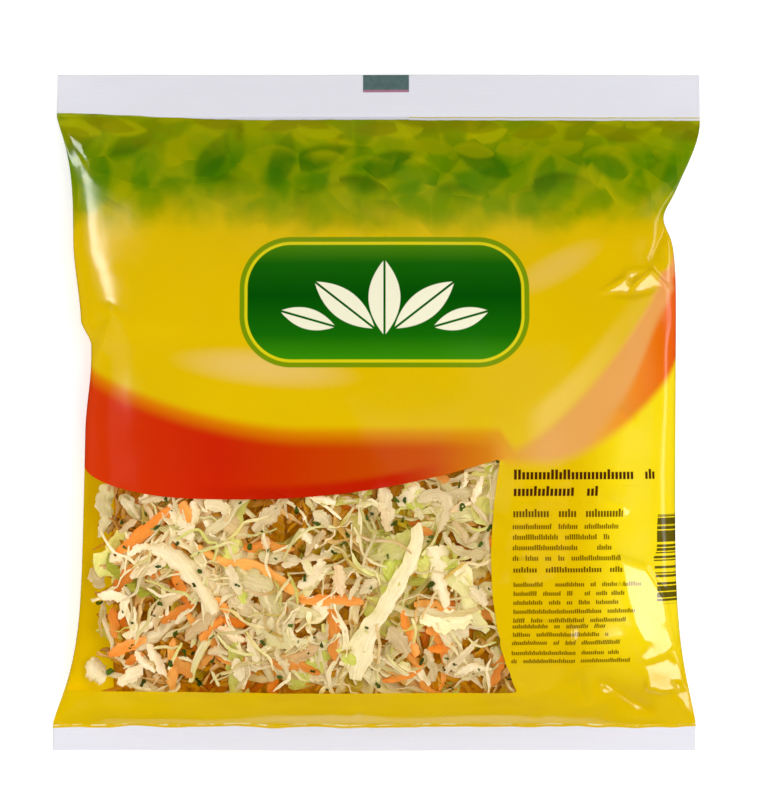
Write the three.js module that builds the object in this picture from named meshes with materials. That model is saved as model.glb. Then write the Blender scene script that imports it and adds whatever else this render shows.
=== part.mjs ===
// A filled pillow bag of shredded salad mix. It lies on its back with the printed face up.
// Millimetres: +X to the right of the printed face, +Y towards its top edge, +Z up.
// The origin is on the surface the bag lies on, under the middle of the bag.
import * as THREE from 'three';

// Driving dimensions
const SEAL_WIDTH = 215;           // flat width of the film tube, kept by both end seals
const BAG_LENGTH = 226;           // over both end seals
const TOP_SEAL = 14;              // height of the band across the top
const BOTTOM_SEAL = 8.5;          // height of the band across the bottom
const SEAL_THICKNESS = 1.2;       // over the crimp ridges
const SEAL_LEVEL = 14;            // how high the bands stand where they leave the filled part
const SEAL_DROOP = 2.2;           // how much lower their free edges hang
const SEAL_RIPPLE = 0.9;          // slow wave along the bands
const SEAL_SHIFT = 0.8;           // the top band stands this far to the right, the bottom one to the left
const RIM_LEVEL = 23;             // height of the rounded sides at the fullest place
const FACE_RISE = 26.5;           // printed face above the rim, before the ends draw it down
const BACK_DROP = 28;             // back below the rim, before the floor flattens it
const LEFT_WAIST = 97.1;          // middle to the left side, low on the body
const LEFT_PINCH = 94.7;          // middle to the left side, in the pinch
const LEFT_FOLD = 98.2;           // middle to the left side, just above the pinch
const LEFT_SHOULDER = 101;        // middle to the left side, high on the body
const RIGHT_WAIST = 99.2;         // middle to the right side
const LUMP_HEIGHT = 0.9;          // how far the shreds push the film up
const LUMP_LENGTH = 19;           // typical distance from lump to lump

// How finely the film is divided
const STEPS_ACROSS = 36;
const STEPS_ALONG_BODY = 46;
const STEPS_ALONG_SEAL = 2;

const topOfBag = BAG_LENGTH / 2;
const bottomOfBag = -BAG_LENGTH / 2;
const topOfBody = topOfBag - TOP_SEAL;
const bottomOfBody = bottomOfBag + BOTTOM_SEAL;

// Small shapes that the rest is built from
const clamp = (t) => Math.min(1, Math.max(0, t));
const ease = (t) => clamp(t) ** 2 * (3 - 2 * clamp(t));
const mix = (a, b, t) => a + (b - a) * t;
const bell = (t) => Math.exp(-t * t);
const flare = (distance, reach) => Math.exp(-((Math.max(0, distance) / reach) ** 1.3));
const settle = (distance, reach) => 1 - Math.exp(-Math.max(0, distance) / reach);

// The left side runs in from both seals, with a pinch where the film folds on itself.
function leftEdge(y) {
  const belowPinch = (2 * ease((18 - y) / 24) + ease((18 - y) / 80)) / 3;
  const below = mix(LEFT_PINCH, LEFT_WAIST, belowPinch);
  const above = mix(LEFT_FOLD, LEFT_SHOULDER, ease((y - 28) / 30));
  const upper = (SEAL_WIDTH / 2 - LEFT_SHOULDER) * flare(topOfBody - y, 14);
  const lower = (SEAL_WIDTH / 2 - LEFT_WAIST) * flare(y - bottomOfBody, 20.5);
  return -(mix(below, above, ease((y - 22) / 9)) + upper + lower);
}

// The right side keeps a flat ear under the top seal, which ends in a sharp notch.
function rightEdge(y) {
  const ear = (SEAL_WIDTH / 2 - RIGHT_WAIST) * ease((y - 67) / 31);
  const notch = -2.6 * bell((y - 64.5) / 5.5) - 1.6 * bell((y - 64.5) / 14);
  const lower = (SEAL_WIDTH / 2 - RIGHT_WAIST) * flare(y - bottomOfBody, 25);
  return RIGHT_WAIST + ear + notch + lower;
}

// 0 at both seals and near 1 where the bag is fullest. The contents have settled, so it
// rises steeply from the bottom seal and slopes gently up to the top one.
function fullness(y) {
  return settle(y - bottomOfBody, 17) * settle(topOfBody - y, 44) / 0.96;
}

// 0 beside a seal and 1 well inside the body.
function awayFromSeals(y) {
  return settle(Math.min(y - bottomOfBody, topOfBody - y), 22);
}

function sealLevel(x, y) {
  const outside = Math.max(0, y - topOfBody, bottomOfBody - y);
  const ripple = SEAL_RIPPLE * Math.sin(x / 21 + (y > 0 ? 0.6 : 2.1));
  return SEAL_LEVEL + ripple - SEAL_DROOP * outside / TOP_SEAL;
}

function rimLevel(x, y) {
  return mix(sealLevel(x, y), RIM_LEVEL, awayFromSeals(y));
}

// A straight crease from one point to another: high or deep along the line, fading at its ends.
function crease(x, y, [x0, y0], [x1, y1], width, height) {
  const length = Math.hypot(x1 - x0, y1 - y0);
  const along = ((x - x0) * (x1 - x0) + (y - y0) * (y1 - y0)) / length;
  const aside = ((x - x0) * (y1 - y0) - (y - y0) * (x1 - x0)) / length;
  const ends = ease(along / width) * ease((length - along) / width);
  return height * ends * bell(aside / width);
}

// The creases that a step away still shows, in the film of the printed face.
const creases = [
  { from: [-101, 94], to: [-91, 66], width: 4.5, height: 2.2 },    // flank fold, upper run
  { from: [-91, 72], to: [-87, 30], width: 4.5, height: 2.4 },     // flank fold, lower run
  { from: [-100, 21], to: [-84, 33], width: 4, height: -2.6 },     // into the left pinch
  { from: [104, 62], to: [78, 42], width: 5, height: -2.4 },       // into the right notch
  { from: [94, 40], to: [74, 48], width: 4, height: 1.8 },
  { from: [84, -16], to: [94, -60], width: 5, height: 1.8 },       // down the right flank
  { from: [98, -102], to: [72, -72], width: 5, height: 2.0 },      // out of the lower right corner
];

function creased(x, y) {
  return creases.reduce((sum, c) => sum + crease(x, y, c.from, c.to, c.width, c.height), 0);
}

// The shreds inside press the film into shallow lumps.
function lumps(x, y) {
  const k = 2 * Math.PI / LUMP_LENGTH;
  const one = Math.sin(k * (x + 0.35 * y)) * Math.sin(k * (0.9 * y - 0.3 * x) + 1);
  const two = Math.sin(k * 0.61 * (0.8 * x - y) + 2) * Math.sin(k * 0.55 * (x + 0.7 * y));
  return LUMP_HEIGHT * (one + two) / 1.6;
}

// One point of the film. turn runs from -1 at the left side to 1 at the right side.
function filmPoint(turn, y, isFace) {
  const shift = SEAL_SHIFT * y / topOfBag;
  const x = shift + mix(leftEdge(y), rightEdge(y), (Math.sin(turn * Math.PI / 2) + 1) / 2);
  const arch = Math.cos(turn * Math.PI / 2);
  const inside = y > bottomOfBody && y < topOfBody;
  const skin = arch > 1e-6 ? SEAL_THICKNESS / 2 : 0;
  if (!inside) return [x, y, sealLevel(x, y) + (isFace ? skin : -skin)];

  const full = fullness(y);
  const rim = rimLevel(x, y);
  const roundness = mix(1.5, 0.78, awayFromSeals(y));
  const crown = full * arch ** roundness;
  if (isFace) {
    const relief = (lumps(x, y) + creased(x, y)) * ease(arch / 0.35) * ease(full / 0.4);
    return [x, y, rim + Math.max(skin, FACE_RISE * crown + relief)];
  }
  return [x, y, Math.max(0, rim - Math.max(skin, BACK_DROP * crown))];
}

// Where the rows of points across the bag stand, from the bottom edge to the top edge.
function rowPlaces() {
  const rows = [];
  for (let i = 0; i <= STEPS_ALONG_SEAL; i += 1) {
    rows.push(mix(bottomOfBag, bottomOfBody, i / STEPS_ALONG_SEAL));
  }
  for (let i = 1; i < STEPS_ALONG_BODY; i += 1) {
    const even = i / STEPS_ALONG_BODY;
    const closerAtEnds = mix(even, (1 - Math.cos(even * Math.PI)) / 2, 0.45);
    rows.push(mix(bottomOfBody, topOfBody, closerAtEnds));
  }
  for (let i = 0; i <= STEPS_ALONG_SEAL; i += 1) {
    rows.push(mix(topOfBody, topOfBag, i / STEPS_ALONG_SEAL));
  }
  return rows;
}

// Each row is a closed ring: along the printed face to the right, back along the underside.
function ringAt(y) {
  const ring = [];
  for (let i = 0; i <= STEPS_ACROSS; i += 1) {
    ring.push(filmPoint(2 * i / STEPS_ACROSS - 1, y, true));
  }
  for (let i = STEPS_ACROSS - 1; i > 0; i -= 1) {
    ring.push(filmPoint(2 * i / STEPS_ACROSS - 1, y, false));
  }
  return ring;
}

function bagGeometry() {
  const rings = rowPlaces().map(ringAt);
  const around = rings[0].length;
  const triangles = [];
  const at = (row, i) => row * around + (i % around);
  for (let row = 0; row < rings.length - 1; row += 1) {
    for (let i = 0; i < around; i += 1) {
      const [a, b, c, d] = [at(row, i), at(row, i + 1), at(row + 1, i + 1), at(row + 1, i)];
      triangles.push(a, b, c, a, c, d);
    }
  }
  closeEnd(triangles, (i) => at(0, i), around, true);
  closeEnd(triangles, (i) => at(rings.length - 1, i), around, false);

  const geometry = new THREE.BufferGeometry();
  geometry.setAttribute('position', new THREE.Float32BufferAttribute(rings.flat(2), 3));
  geometry.setIndex(triangles);
  geometry.computeVertexNormals();
  return geometry;
}

// The free edge of a seal: point i of the face is joined to the point under it.
function closeEnd(triangles, at, around, facesDown) {
  for (let i = 0; i < around / 2; i += 1) {
    const corners = [at(i), at(i + 1), at(around - i - 1), at((around - i) % around)];
    if (!facesDown) corners.reverse();
    const [a, b, c, d] = corners;
    if (b !== c) triangles.push(a, c, b);
    if (a !== d) triangles.push(a, d, c);
  }
}

const bag = new THREE.Mesh(
  bagGeometry(),
  new THREE.MeshStandardMaterial({ color: 0xe3bd08, roughness: 0.3, metalness: 0 }),
);
bag.name = 'bag';

const model = new THREE.Group();
model.add(bag);

export default model;
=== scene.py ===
"""A filled pillow bag of shredded salad mix: printed film, clear window, end seals and the shreds in it."""
import math
from collections import namedtuple

import bmesh
import bpy
import numpy as np
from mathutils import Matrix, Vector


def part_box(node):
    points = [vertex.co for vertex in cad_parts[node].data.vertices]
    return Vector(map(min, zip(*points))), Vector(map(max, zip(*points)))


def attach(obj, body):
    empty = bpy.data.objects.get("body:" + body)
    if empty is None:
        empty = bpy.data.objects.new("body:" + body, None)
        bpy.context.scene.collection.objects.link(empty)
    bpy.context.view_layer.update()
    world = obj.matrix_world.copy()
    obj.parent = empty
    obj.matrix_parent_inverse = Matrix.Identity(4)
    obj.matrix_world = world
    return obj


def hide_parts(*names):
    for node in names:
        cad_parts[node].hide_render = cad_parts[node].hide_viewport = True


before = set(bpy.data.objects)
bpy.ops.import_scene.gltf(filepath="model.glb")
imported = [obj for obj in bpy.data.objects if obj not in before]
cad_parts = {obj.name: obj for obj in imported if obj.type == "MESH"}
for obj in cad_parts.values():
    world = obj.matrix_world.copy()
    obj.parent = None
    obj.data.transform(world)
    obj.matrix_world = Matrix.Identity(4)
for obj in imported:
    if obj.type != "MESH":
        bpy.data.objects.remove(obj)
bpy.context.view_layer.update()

MM = 0.001
BODY = "root"
NODE = "bag"

# ---------------------------------------------------------------- driving sizes, in millimetres
bag_low, bag_high = (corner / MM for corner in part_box(NODE))
TOP_OF_BAG = bag_high.y
BOTTOM_OF_BAG = bag_low.y
TOP_SEAL = 14.0
BOTTOM_SEAL = 8.5
TOP_OF_BODY = TOP_OF_BAG - TOP_SEAL
BOTTOM_OF_BODY = BOTTOM_OF_BAG + BOTTOM_SEAL
SEAL_WIDTH = 215.0
SEAL_SHIFT = 0.8
SEAL_LEVEL = 14.0
SEAL_DROOP = 2.2
SEAL_RIPPLE = 0.9
RIM_LEVEL = 23.0
FACE_RISE = 26.5
BACK_DROP = 28.0
BACK_CLEARANCE = 0.45             # room under the film for the folded back seam
LEFT_WAIST = 97.1                 # these four: middle to the left side, from the bottom up
LEFT_PINCH = 94.7
LEFT_FOLD = 98.2
LEFT_SHOULDER = 101.0
RIGHT_WAIST = 99.2
PINCH_Y = 22.0                    # where the left side is folded in
NOTCH_Y = 64.5                    # the notch below the ear at the upper right
EAR_FROM, EAR_TO = 67.0, 98.0


# ---------------------------------------------------------------- the photo's frame
PHOTO_WIDTH, PHOTO_HEIGHT = 772, 800
MM_PER_PIXEL = 0.3344             # at the level of the end seals
CAMERA_HEIGHT = 1200.0
PHOTO_CENTRE = (3.2, 4.2)         # where the middle of the photo is on the bag


def from_photo(across, down, level):
    """Place on the bag, in millimetres, of a pixel of the photo seen at this height."""
    scale = MM_PER_PIXEL * (CAMERA_HEIGHT - level) / (CAMERA_HEIGHT - SEAL_LEVEL)
    return (PHOTO_CENTRE[0] + (across - PHOTO_WIDTH / 2) * scale,
            PHOTO_CENTRE[1] - (down - PHOTO_HEIGHT / 2) * scale)


# ---------------------------------------------------------------- small shapes
def mix(a, b, t):
    return a + (b - a) * t


def ease(t):
    t = np.clip(t, 0, 1)
    return t * t * (3 - 2 * t)


def bell(t):
    return np.exp(-t * t)


def flare(distance, reach):
    return np.exp(-((np.maximum(0, distance) / reach) ** 1.3))


def settle(distance, reach):
    return 1 - np.exp(-np.maximum(0, distance) / reach)


def ripples(x, y, length, seed, waves=7):
    """A smooth random relief between about -1 and 1, with this distance from crest to crest."""
    draw = np.random.default_rng(seed)
    total = np.zeros(np.broadcast(x, y).shape)
    for _ in range(waves):
        angle, phase = draw.uniform(0, math.tau, 2)
        k = math.tau / (length * draw.uniform(0.75, 1.35))
        total += np.sin(k * (x * math.cos(angle) + y * math.sin(angle)) + phase)
    return total / math.sqrt(waves)


def facets(x, y, length, seed, waves=3):
    """Flat panels that meet in straight creases, between about -1 and 1."""
    chance = np.random.default_rng(seed)
    total = np.zeros(np.broadcast(x, y).shape)
    for _ in range(waves):
        angle, phase = chance.uniform(0, math.tau, 2)
        k = math.tau / (length * chance.uniform(0.7, 1.5))
        wave = np.sin(k * (x * math.cos(angle) + y * math.sin(angle)) + phase)
        total += np.arcsin(0.985 * wave) * 2 / math.pi
    return total / math.sqrt(waves)


# ---------------------------------------------------------------- the film's shape
def left_edge(y):
    down = PINCH_Y - 4 - y
    below = mix(LEFT_PINCH, LEFT_WAIST, (2 * ease(down / 24) + ease(down / 80)) / 3)
    above = mix(LEFT_FOLD, LEFT_SHOULDER, ease((y - PINCH_Y - 6) / 30))
    upper = (SEAL_WIDTH / 2 - LEFT_SHOULDER) * flare(TOP_OF_BODY - y, 14)
    lower = (SEAL_WIDTH / 2 - LEFT_WAIST) * flare(y - BOTTOM_OF_BODY, 20.5)
    side = mix(below, above, ease((y - PINCH_Y) / 9)) + upper + lower
    return SEAL_SHIFT * y / TOP_OF_BAG - side


def right_edge(y):
    ear = (SEAL_WIDTH / 2 - RIGHT_WAIST) * ease((y - EAR_FROM) / (EAR_TO - EAR_FROM))
    notch = -2.6 * bell((y - NOTCH_Y) / 5.5) - 1.6 * bell((y - NOTCH_Y) / 14)
    lower = (SEAL_WIDTH / 2 - RIGHT_WAIST) * flare(y - BOTTOM_OF_BODY, 25)
    return SEAL_SHIFT * y / TOP_OF_BAG + RIGHT_WAIST + ear + notch + lower


def fullness(y):
    return settle(y - BOTTOM_OF_BODY, 17) * settle(TOP_OF_BODY - y, 44) / 0.96


def away_from_seals(y):
    return settle(np.minimum(y - BOTTOM_OF_BODY, TOP_OF_BODY - y), 22)


def seal_level(x, y):
    outside = np.maximum(0, np.maximum(y - TOP_OF_BODY, BOTTOM_OF_BODY - y))
    ripple = SEAL_RIPPLE * np.sin(x / 21 + np.where(y > 0, 0.6, 2.1))
    return SEAL_LEVEL + ripple - SEAL_DROOP * outside / TOP_SEAL


def rim_level(x, y):
    return mix(seal_level(x, y), RIM_LEVEL, away_from_seals(y))


def turn_at(x, y):
    """How far round the face a point is: -1 at the left side, 0 in the middle, 1 at the right."""
    across = (x - left_edge(y)) / (right_edge(y) - left_edge(y))
    return np.arcsin(np.clip(2 * across - 1, -1, 1)) * 2 / math.pi


def crown_at(turn, y):
    """How full the bag stands at a turn, from 0 at the sides and seals to 1: sharper near the seals."""
    arch = np.abs(np.cos(turn * math.pi / 2))
    return fullness(y) * arch ** mix(1.5, 0.78, away_from_seals(y))


def smooth_face(x, y):
    """Height of the printed face before its creases, at a place seen from above."""
    return rim_level(x, y) + FACE_RISE * crown_at(turn_at(x, y), y)


# from, to, half width, height of each crease in the printed face; the photo shows these
CREASES = [
    ((-99, 21), (-86, 34), 2.6, -2.2),
    ((-86.5, 37), (-92, 17), 2.4, 1.4),
    ((98, 66), (90, 48), 2.2, -1.6),
    ((63, -68), (64, -90), 1.5, 1.5),
    ((66, -84), (70, -98), 2.0, -1.6),
    ((72, -87), (94, -101), 2.6, -2.6),
    ((72, -27), (84, -32), 2.0, 1.0),
    ((78, 2), (86, -4), 1.8, 0.9),
    ((-10, -104), (-5, -97), 1.3, 1.6),
    ((52, -104), (54, -96), 1.8, -1.4),
]

# Where the film is pulled flat between folds: corners of the flat, and how it slopes along x and y.
FLATS = [
    (((-106.4, 98.2), (-97.0, 90.6), (-95.6, 81.0), (-99.6, 86.4)), (0.34, -0.17)),
    (((70.6, 38.4), (82.6, 46.6), (85.6, 37.4)), (-0.43, 0.36)),
    (((80.6, 47.4), (92.2, 48.6), (83.8, 40.4)), (-0.42, 0.37)),
    (((82.6, 42.4), (90.8, 48.2), (97.4, 41.6), (84.8, 37.4)), (-0.42, 0.34)),
    (((76.6, -44.5), (90.0, -49.5), (96.6, -60.0), (99.6, -77.0), (87.0, -77.6), (80.6, -61.0)),
     (-0.45, 0.2)),
    (((84.2, -80.8), (91.8, -74.6), (101.0, -75.6), (95.0, -82.0), (89.6, -83.6)), (-0.43, 0.21)),
    (((88.0, -82.2), (97.0, -79.6), (102.0, -84.4), (103.8, -92.6), (95.0, -94.0), (89.0, -92.6)),
     (-0.43, 0.15)),
    (((97.6, -88.6), (103.2, -89.4), (109.0, -101.4), (103.6, -102.4)), (-0.42, 0.19)),
]
FLAT_SOFTNESS = 0.17                 # share of a flat's size over which the film bends into it
FLAT_RELIEF = 0.5                    # share of the film's relief that a flat keeps
# shares of the bag's full height at which the relief has grown to its full size
FACE_FULL = 0.25
BACK_FULL = 0.35
SEAL_FULL = 0.35


def crease(x, y, start, end, width, height):
    (x0, y0), (x1, y1) = start, end
    length = math.hypot(x1 - x0, y1 - y0)
    along = ((x - x0) * (x1 - x0) + (y - y0) * (y1 - y0)) / length
    aside = ((x - x0) * (y1 - y0) - (y - y0) * (x1 - x0)) / length
    ends = ease(along / (2 * width)) * ease((length - along) / (2 * width))
    roof = np.exp(-np.sqrt((aside / width) ** 2 + 0.05) + 0.22)
    return height * ends * roof


def flatten(x, y, smooth, relief, corners, slope):
    """The relief once the film is brought on to one plane between these corners."""
    cx, cy = np.mean(corners, axis=0)
    sides = []
    for (x0, y0), (x1, y1) in zip(corners, corners[1:] + corners[:1]):
        length = math.hypot(x1 - x0, y1 - y0)
        inward = math.copysign(1 / length, (cx - x0) * (y1 - y0) - (cy - y0) * (x1 - x0))
        sides.append(((x - x0) * (y1 - y0) - (y - y0) * (x1 - x0)) * inward)
    size = np.hypot(*(np.array(corners) - (cx, cy)).T).mean()
    flat = ease(np.minimum.reduce(sides) / (FLAT_SOFTNESS * size))
    plane = smooth_face(cx, cy) + slope[0] * (x - cx) + slope[1] * (y - cy)
    return mix(relief, plane - smooth + FLAT_RELIEF * relief, flat)


def puckers(x, y):
    """The gathers that run out of both seals and die away in the body."""
    from_top = TOP_OF_BODY - y
    from_bottom = y - BOTTOM_OF_BODY
    top = np.sin(x / 3.1 + 1.6 * np.sin(x / 17)) * flare(from_top, 9) * settle(from_top, 3)
    bottom = np.sin(x / 3.6 + 1.9 * np.sin(x / 13 + 1)) * flare(from_bottom, 8) * settle(from_bottom, 3)
    return 0.55 * top + 0.6 * bottom


# centre, reach each way, height and width of the panels where the film is slack
SLACK_PLACES = [
    ((88, 42), (13, 20), 0.5, 26, 41),
    ((90, -20), (10, 50), 0.4, 30, 42),
    ((84, -86), (20, 17), 0.7, 24, 43),
    ((-92, 60), (12, 40), 0.2, 30, 44),
    ((-90, -92), (16, 14), 0.6, 20, 45),
    ((0, 92), (95, 12), 0.4, 22, 46),
]


def slack(x, y):
    """Crumpled film at the sides and corners, where the contents don't stretch it."""
    total = 0.0
    for (cx, cy), (rx, ry), height, width, seed in SLACK_PLACES:
        near = np.exp(-((x - cx) / rx) ** 4 - ((y - cy) / ry) ** 4)
        total = total + height * near * facets(x, y, width, seed)
    return total


def face_relief(x, y):
    relief = 0.5 * ripples(x, y, 58, 3) + 0.12 * ripples(x, y, 27, 4)
    relief += slack(x, y) + puckers(x, y)
    for start, end, width, height in CREASES:
        relief += crease(x, y, start, end, width, height)
    smooth = smooth_face(x, y)
    for corners, slope in FLATS:
        relief = flatten(x, y, smooth, relief, corners, slope)
    return relief


def film_point(turn, y):
    """Place of the film: turn -1 to 1 is the printed face, beyond that the back."""
    x = mix(left_edge(y), right_edge(y), (np.sin(turn * math.pi / 2) + 1) / 2)
    arch = np.abs(np.cos(turn * math.pi / 2))
    full = fullness(y)
    rim = rim_level(x, y)
    crown = crown_at(turn, y)
    relief = face_relief(x, y) * ease(arch / FACE_FULL) * ease(full / SEAL_FULL)
    face = rim + FACE_RISE * crown + relief
    back_relief = 0.35 * ripples(x, y, 30, 8) + 0.5 * puckers(-x, y)
    back = rim - BACK_DROP * crown + back_relief * ease(arch / BACK_FULL) * ease(full / SEAL_FULL)
    back = np.maximum(BACK_CLEARANCE, back)
    return x, np.where(np.abs(turn) <= 1, face, back)


# ---------------------------------------------------------------- meshes from a bmesh grid
def grid(columns, rows):
    """Points of a grid over -1..1 each way, and its faces."""
    bm = bmesh.new()
    bmesh.ops.create_grid(bm, x_segments=columns, y_segments=rows, size=1)
    points = np.array([v.co[:2] for v in bm.verts])
    faces = np.array([[v.index for v in f.verts] for f in bm.faces])
    bm.free()
    return points, faces


def mesh_object(name, points, faces, uv=None, material=None):
    """A smooth-shaded object from points in millimetres."""
    mesh = bpy.data.meshes.new(name)
    mesh.from_pydata((np.asarray(points) * MM).tolist(), [], [list(map(int, f)) for f in faces])
    if uv is not None:
        layer = mesh.uv_layers.new(name="film")
        corners = np.zeros(len(mesh.loops), np.int32)
        mesh.loops.foreach_get("vertex_index", corners)
        layer.data.foreach_set("uv", uv[corners].astype(np.float32).ravel())
    mesh.shade_smooth()
    if material:
        mesh.materials.append(material)
    piece = bpy.data.objects.new(name, mesh)
    bpy.context.scene.collection.objects.link(piece)
    return piece


def place(piece, slot):
    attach(piece, BODY)
    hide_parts(NODE)
    return piece


# ---------------------------------------------------------------- shader building
def ink(red, green, blue):
    """A colour as a screen shows it, 0 to 255, as the shader wants it."""
    parts = [c / 255 for c in (red, green, blue)]
    return tuple(c / 12.92 if c < 0.04045 else ((c + 0.055) / 1.055) ** 2.4 for c in parts) + (1.0,)


class Value:
    """One output of a shader node. Sums and products of values become Math nodes."""

    def __init__(self, net, socket):
        self.net, self.socket = net, socket

    def __add__(self, other):
        return self.net.maths("ADD", self, other)

    def __sub__(self, other):
        return self.net.maths("SUBTRACT", self, other)

    def __rsub__(self, other):
        return self.net.maths("SUBTRACT", other, self)

    def __mul__(self, other):
        return self.net.maths("MULTIPLY", self, other)

    def __truediv__(self, other):
        return self.net.maths("DIVIDE", self, other)

    def __pow__(self, other):
        return self.net.maths("POWER", self, other)

    def __neg__(self):
        return self * -1.0

    def __abs__(self):
        return self.net.maths("ABSOLUTE", self)

    __radd__ = __add__
    __rmul__ = __mul__


def positive(value):
    """The value where it is above 0, and 0 elsewhere, for numbers and shader values alike."""
    return value.net.highest(value, 0.0) if isinstance(value, Value) else np.maximum(value, 0)


class Net:
    """Adds nodes to one shader tree by plain calls."""

    def __init__(self, tree):
        self.tree = tree

    def fill(self, node, inputs):
        """Sets or links the inputs of a node, by name or number."""
        for key, value in inputs.items():
            if isinstance(value, Value):
                self.tree.links.new(value.socket, node.inputs[key])
            else:
                node.inputs[key].default_value = value

    def make(self, kind, inputs, *outputs, **settings):
        """Adds a node. Gives its first output as a value, or each of the outputs named."""
        node = self.tree.nodes.new("ShaderNode" + kind)
        for name, value in settings.items():
            setattr(node, name, value)
        self.fill(node, inputs)
        if not outputs:
            return Value(self, node.outputs[0])
        return [Value(self, node.outputs[key]) for key in outputs]

    def maths(self, operation, *values):
        return self.make("Math", dict(enumerate(values)), operation=operation)

    def highest(self, a, b):
        return self.maths("MAXIMUM", a, b)

    def floor(self, value):
        return self.maths("FLOOR", value)

    def rise(self, value, low, high, start=0.0, end=1.0):
        """start below low, end above high, smooth between."""
        inputs = dict(enumerate((value, low, high, start, end)))
        return self.make("MapRange", inputs, interpolation_type="SMOOTHSTEP")

    def fall(self, value, low, high):
        return self.rise(value, low, high, 1.0, 0.0)

    def between(self, value, low, high, soft=0.12):
        return self.rise(value - low, -soft, soft) * self.rise(high - value, -soft, soft)

    def blend(self, share, first, second, kind="MIX"):
        mixed, = self.make("Mix", {0: share, 6: first, 7: second}, 2, data_type="RGBA", blend_type=kind)
        return mixed

    def tint(self, colour, by):
        return self.blend(1.0, colour, by, "MULTIPLY")

    def point(self, x, y, z=0.0):
        return self.make("CombineXYZ", {0: x, 1: y, 2: z})

    def parts(self, vector):
        return self.make("SeparateXYZ", {0: vector}, 0, 1, 2)

    def noise(self, vector, length, detail=2.0, roughness=0.5):
        inputs = {"Vector": vector, "Scale": 1 / length, "Detail": detail, "Roughness": roughness}
        return self.make("TexNoise", inputs)

    def draw(self, x, y, z=0.0):
        """A random number for each place."""
        return self.make("TexWhiteNoise", {"Vector": self.point(x, y, z)}, noise_dimensions="3D")

    def ramp(self, value, stops):
        """Colours along a value. Each stop is its place from 0 to 1 and a screen colour."""
        node = self.tree.nodes.new("ShaderNodeValToRGB")
        self.fill(node, {0: value})
        elements = node.color_ramp.elements
        while len(elements) < len(stops):
            elements.new(0.5)
        for element, (at, *colour) in zip(elements, stops):
            element.position = at
            element.color = ink(*colour)
        return Value(self, node.outputs[0])

    def bump(self, height, distance, strength=1.0):
        """The normal of small relief, with its distance in millimetres."""
        return self.make("Bump", {"Height": height, "Distance": distance * MM, "Strength": strength})

    def group(self, tree, outputs, **inputs):
        return self.make("Group", inputs, *outputs, node_tree=tree)

    def film_place(self):
        """Place on the film, or on a cut piece, in millimetres along its surface."""
        return self.make("UVMap", {}, uv_map="film")


def new_group(name, inputs, outputs):
    """An empty shader group: its net, the values of its inputs, and the node that takes its outputs."""
    tree = bpy.data.node_groups.new(name, "ShaderNodeTree")
    for in_out, sockets in (("INPUT", inputs), ("OUTPUT", outputs)):
        for socket, kind in sockets.items():
            tree.interface.new_socket(socket, in_out=in_out, socket_type="NodeSocket" + kind)
    net = Net(tree)
    given = tree.nodes.new("NodeGroupInput")
    return net, [Value(net, given.outputs[socket]) for socket in inputs], tree.nodes.new("NodeGroupOutput")


def new_material(name):
    material = bpy.data.materials.new(name)
    material.use_nodes = True
    return material, Net(material.node_tree), material.node_tree.nodes["Principled BSDF"]


# ---------------------------------------------------------------- the print
# Lines of the print in film millimetres: u from the print's middle line, v up the bag.
WINDOW_LEFT = -106.5
WINDOW_BOTTOM = -92.4
WINDOW_TOP_LOWEST = (-45.0, -28.2)   # lowest point of the window's upper line
WINDOW_RIGHT_WAIST = (36.2, -50.0)   # leftmost point of the window's right line
TOP_WHITE = 98.1
BOTTOM_WHITE = -105.1
LEAVES_FROM = 38.0                   # the leaf band ends above this v
SMALL_PRINT_FROM = 41.0              # the small print stands right of this u
SMALL_PRINT_TO = -15.0               # and below this v
YELLOWS = (ink(223, 183, 1), ink(230, 190, 2))
WHITE = ink(231, 230, 238)


def window_top(u):
    """The window's upper line, which rises to both sides. Works on numbers and on shader values."""
    aside = u - WINDOW_TOP_LOWEST[0]
    return WINDOW_TOP_LOWEST[1] + 0.00188 * positive(aside) ** 2 + 4.8e-5 * positive(-aside) ** 3


def window_right(v):
    above = v - WINDOW_RIGHT_WAIST[1]
    return WINDOW_RIGHT_WAIST[0] + np.where(above > 0, 0.0023, 0.0052) * above ** 2


def inside_window(u, v):
    """Distance in millimetres that a point of the film lies inside the clear window, below 0 outside."""
    return np.minimum.reduce([window_top(u) - v, window_right(v) - u, v - WINDOW_BOTTOM, u - WINDOW_LEFT])


def effect(name, paint):
    """A node group that paints something over a colour, by place on the film."""
    n, (film, under), result = new_group(name, {"Film": "Vector", "Under": "Color"}, {"Colour": "Color"})
    u, v, _ = n.parts(film)
    n.fill(result, {"Colour": paint(n, film, u, v, under)})
    return n.tree


def turned(x, y, cos, sin):
    """Distances along and across a line through the origin."""
    return x * cos + y * sin, y * cos - x * sin


def leaf_form(n, x, y, cos, sin, length, width, soft):
    """A leaf pointed at both ends. Gives its mask and the distance from its midrib."""
    along, aside = turned(x, y, cos, sin)
    reach = along * (1 / length)
    midrib = abs(aside)
    return n.rise((1.0 - reach * reach) * width - midrib, -soft, soft), midrib


LeafLayer = namedtuple("LeafLayer", "shift cell length width soft tones fade strength lean")
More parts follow.
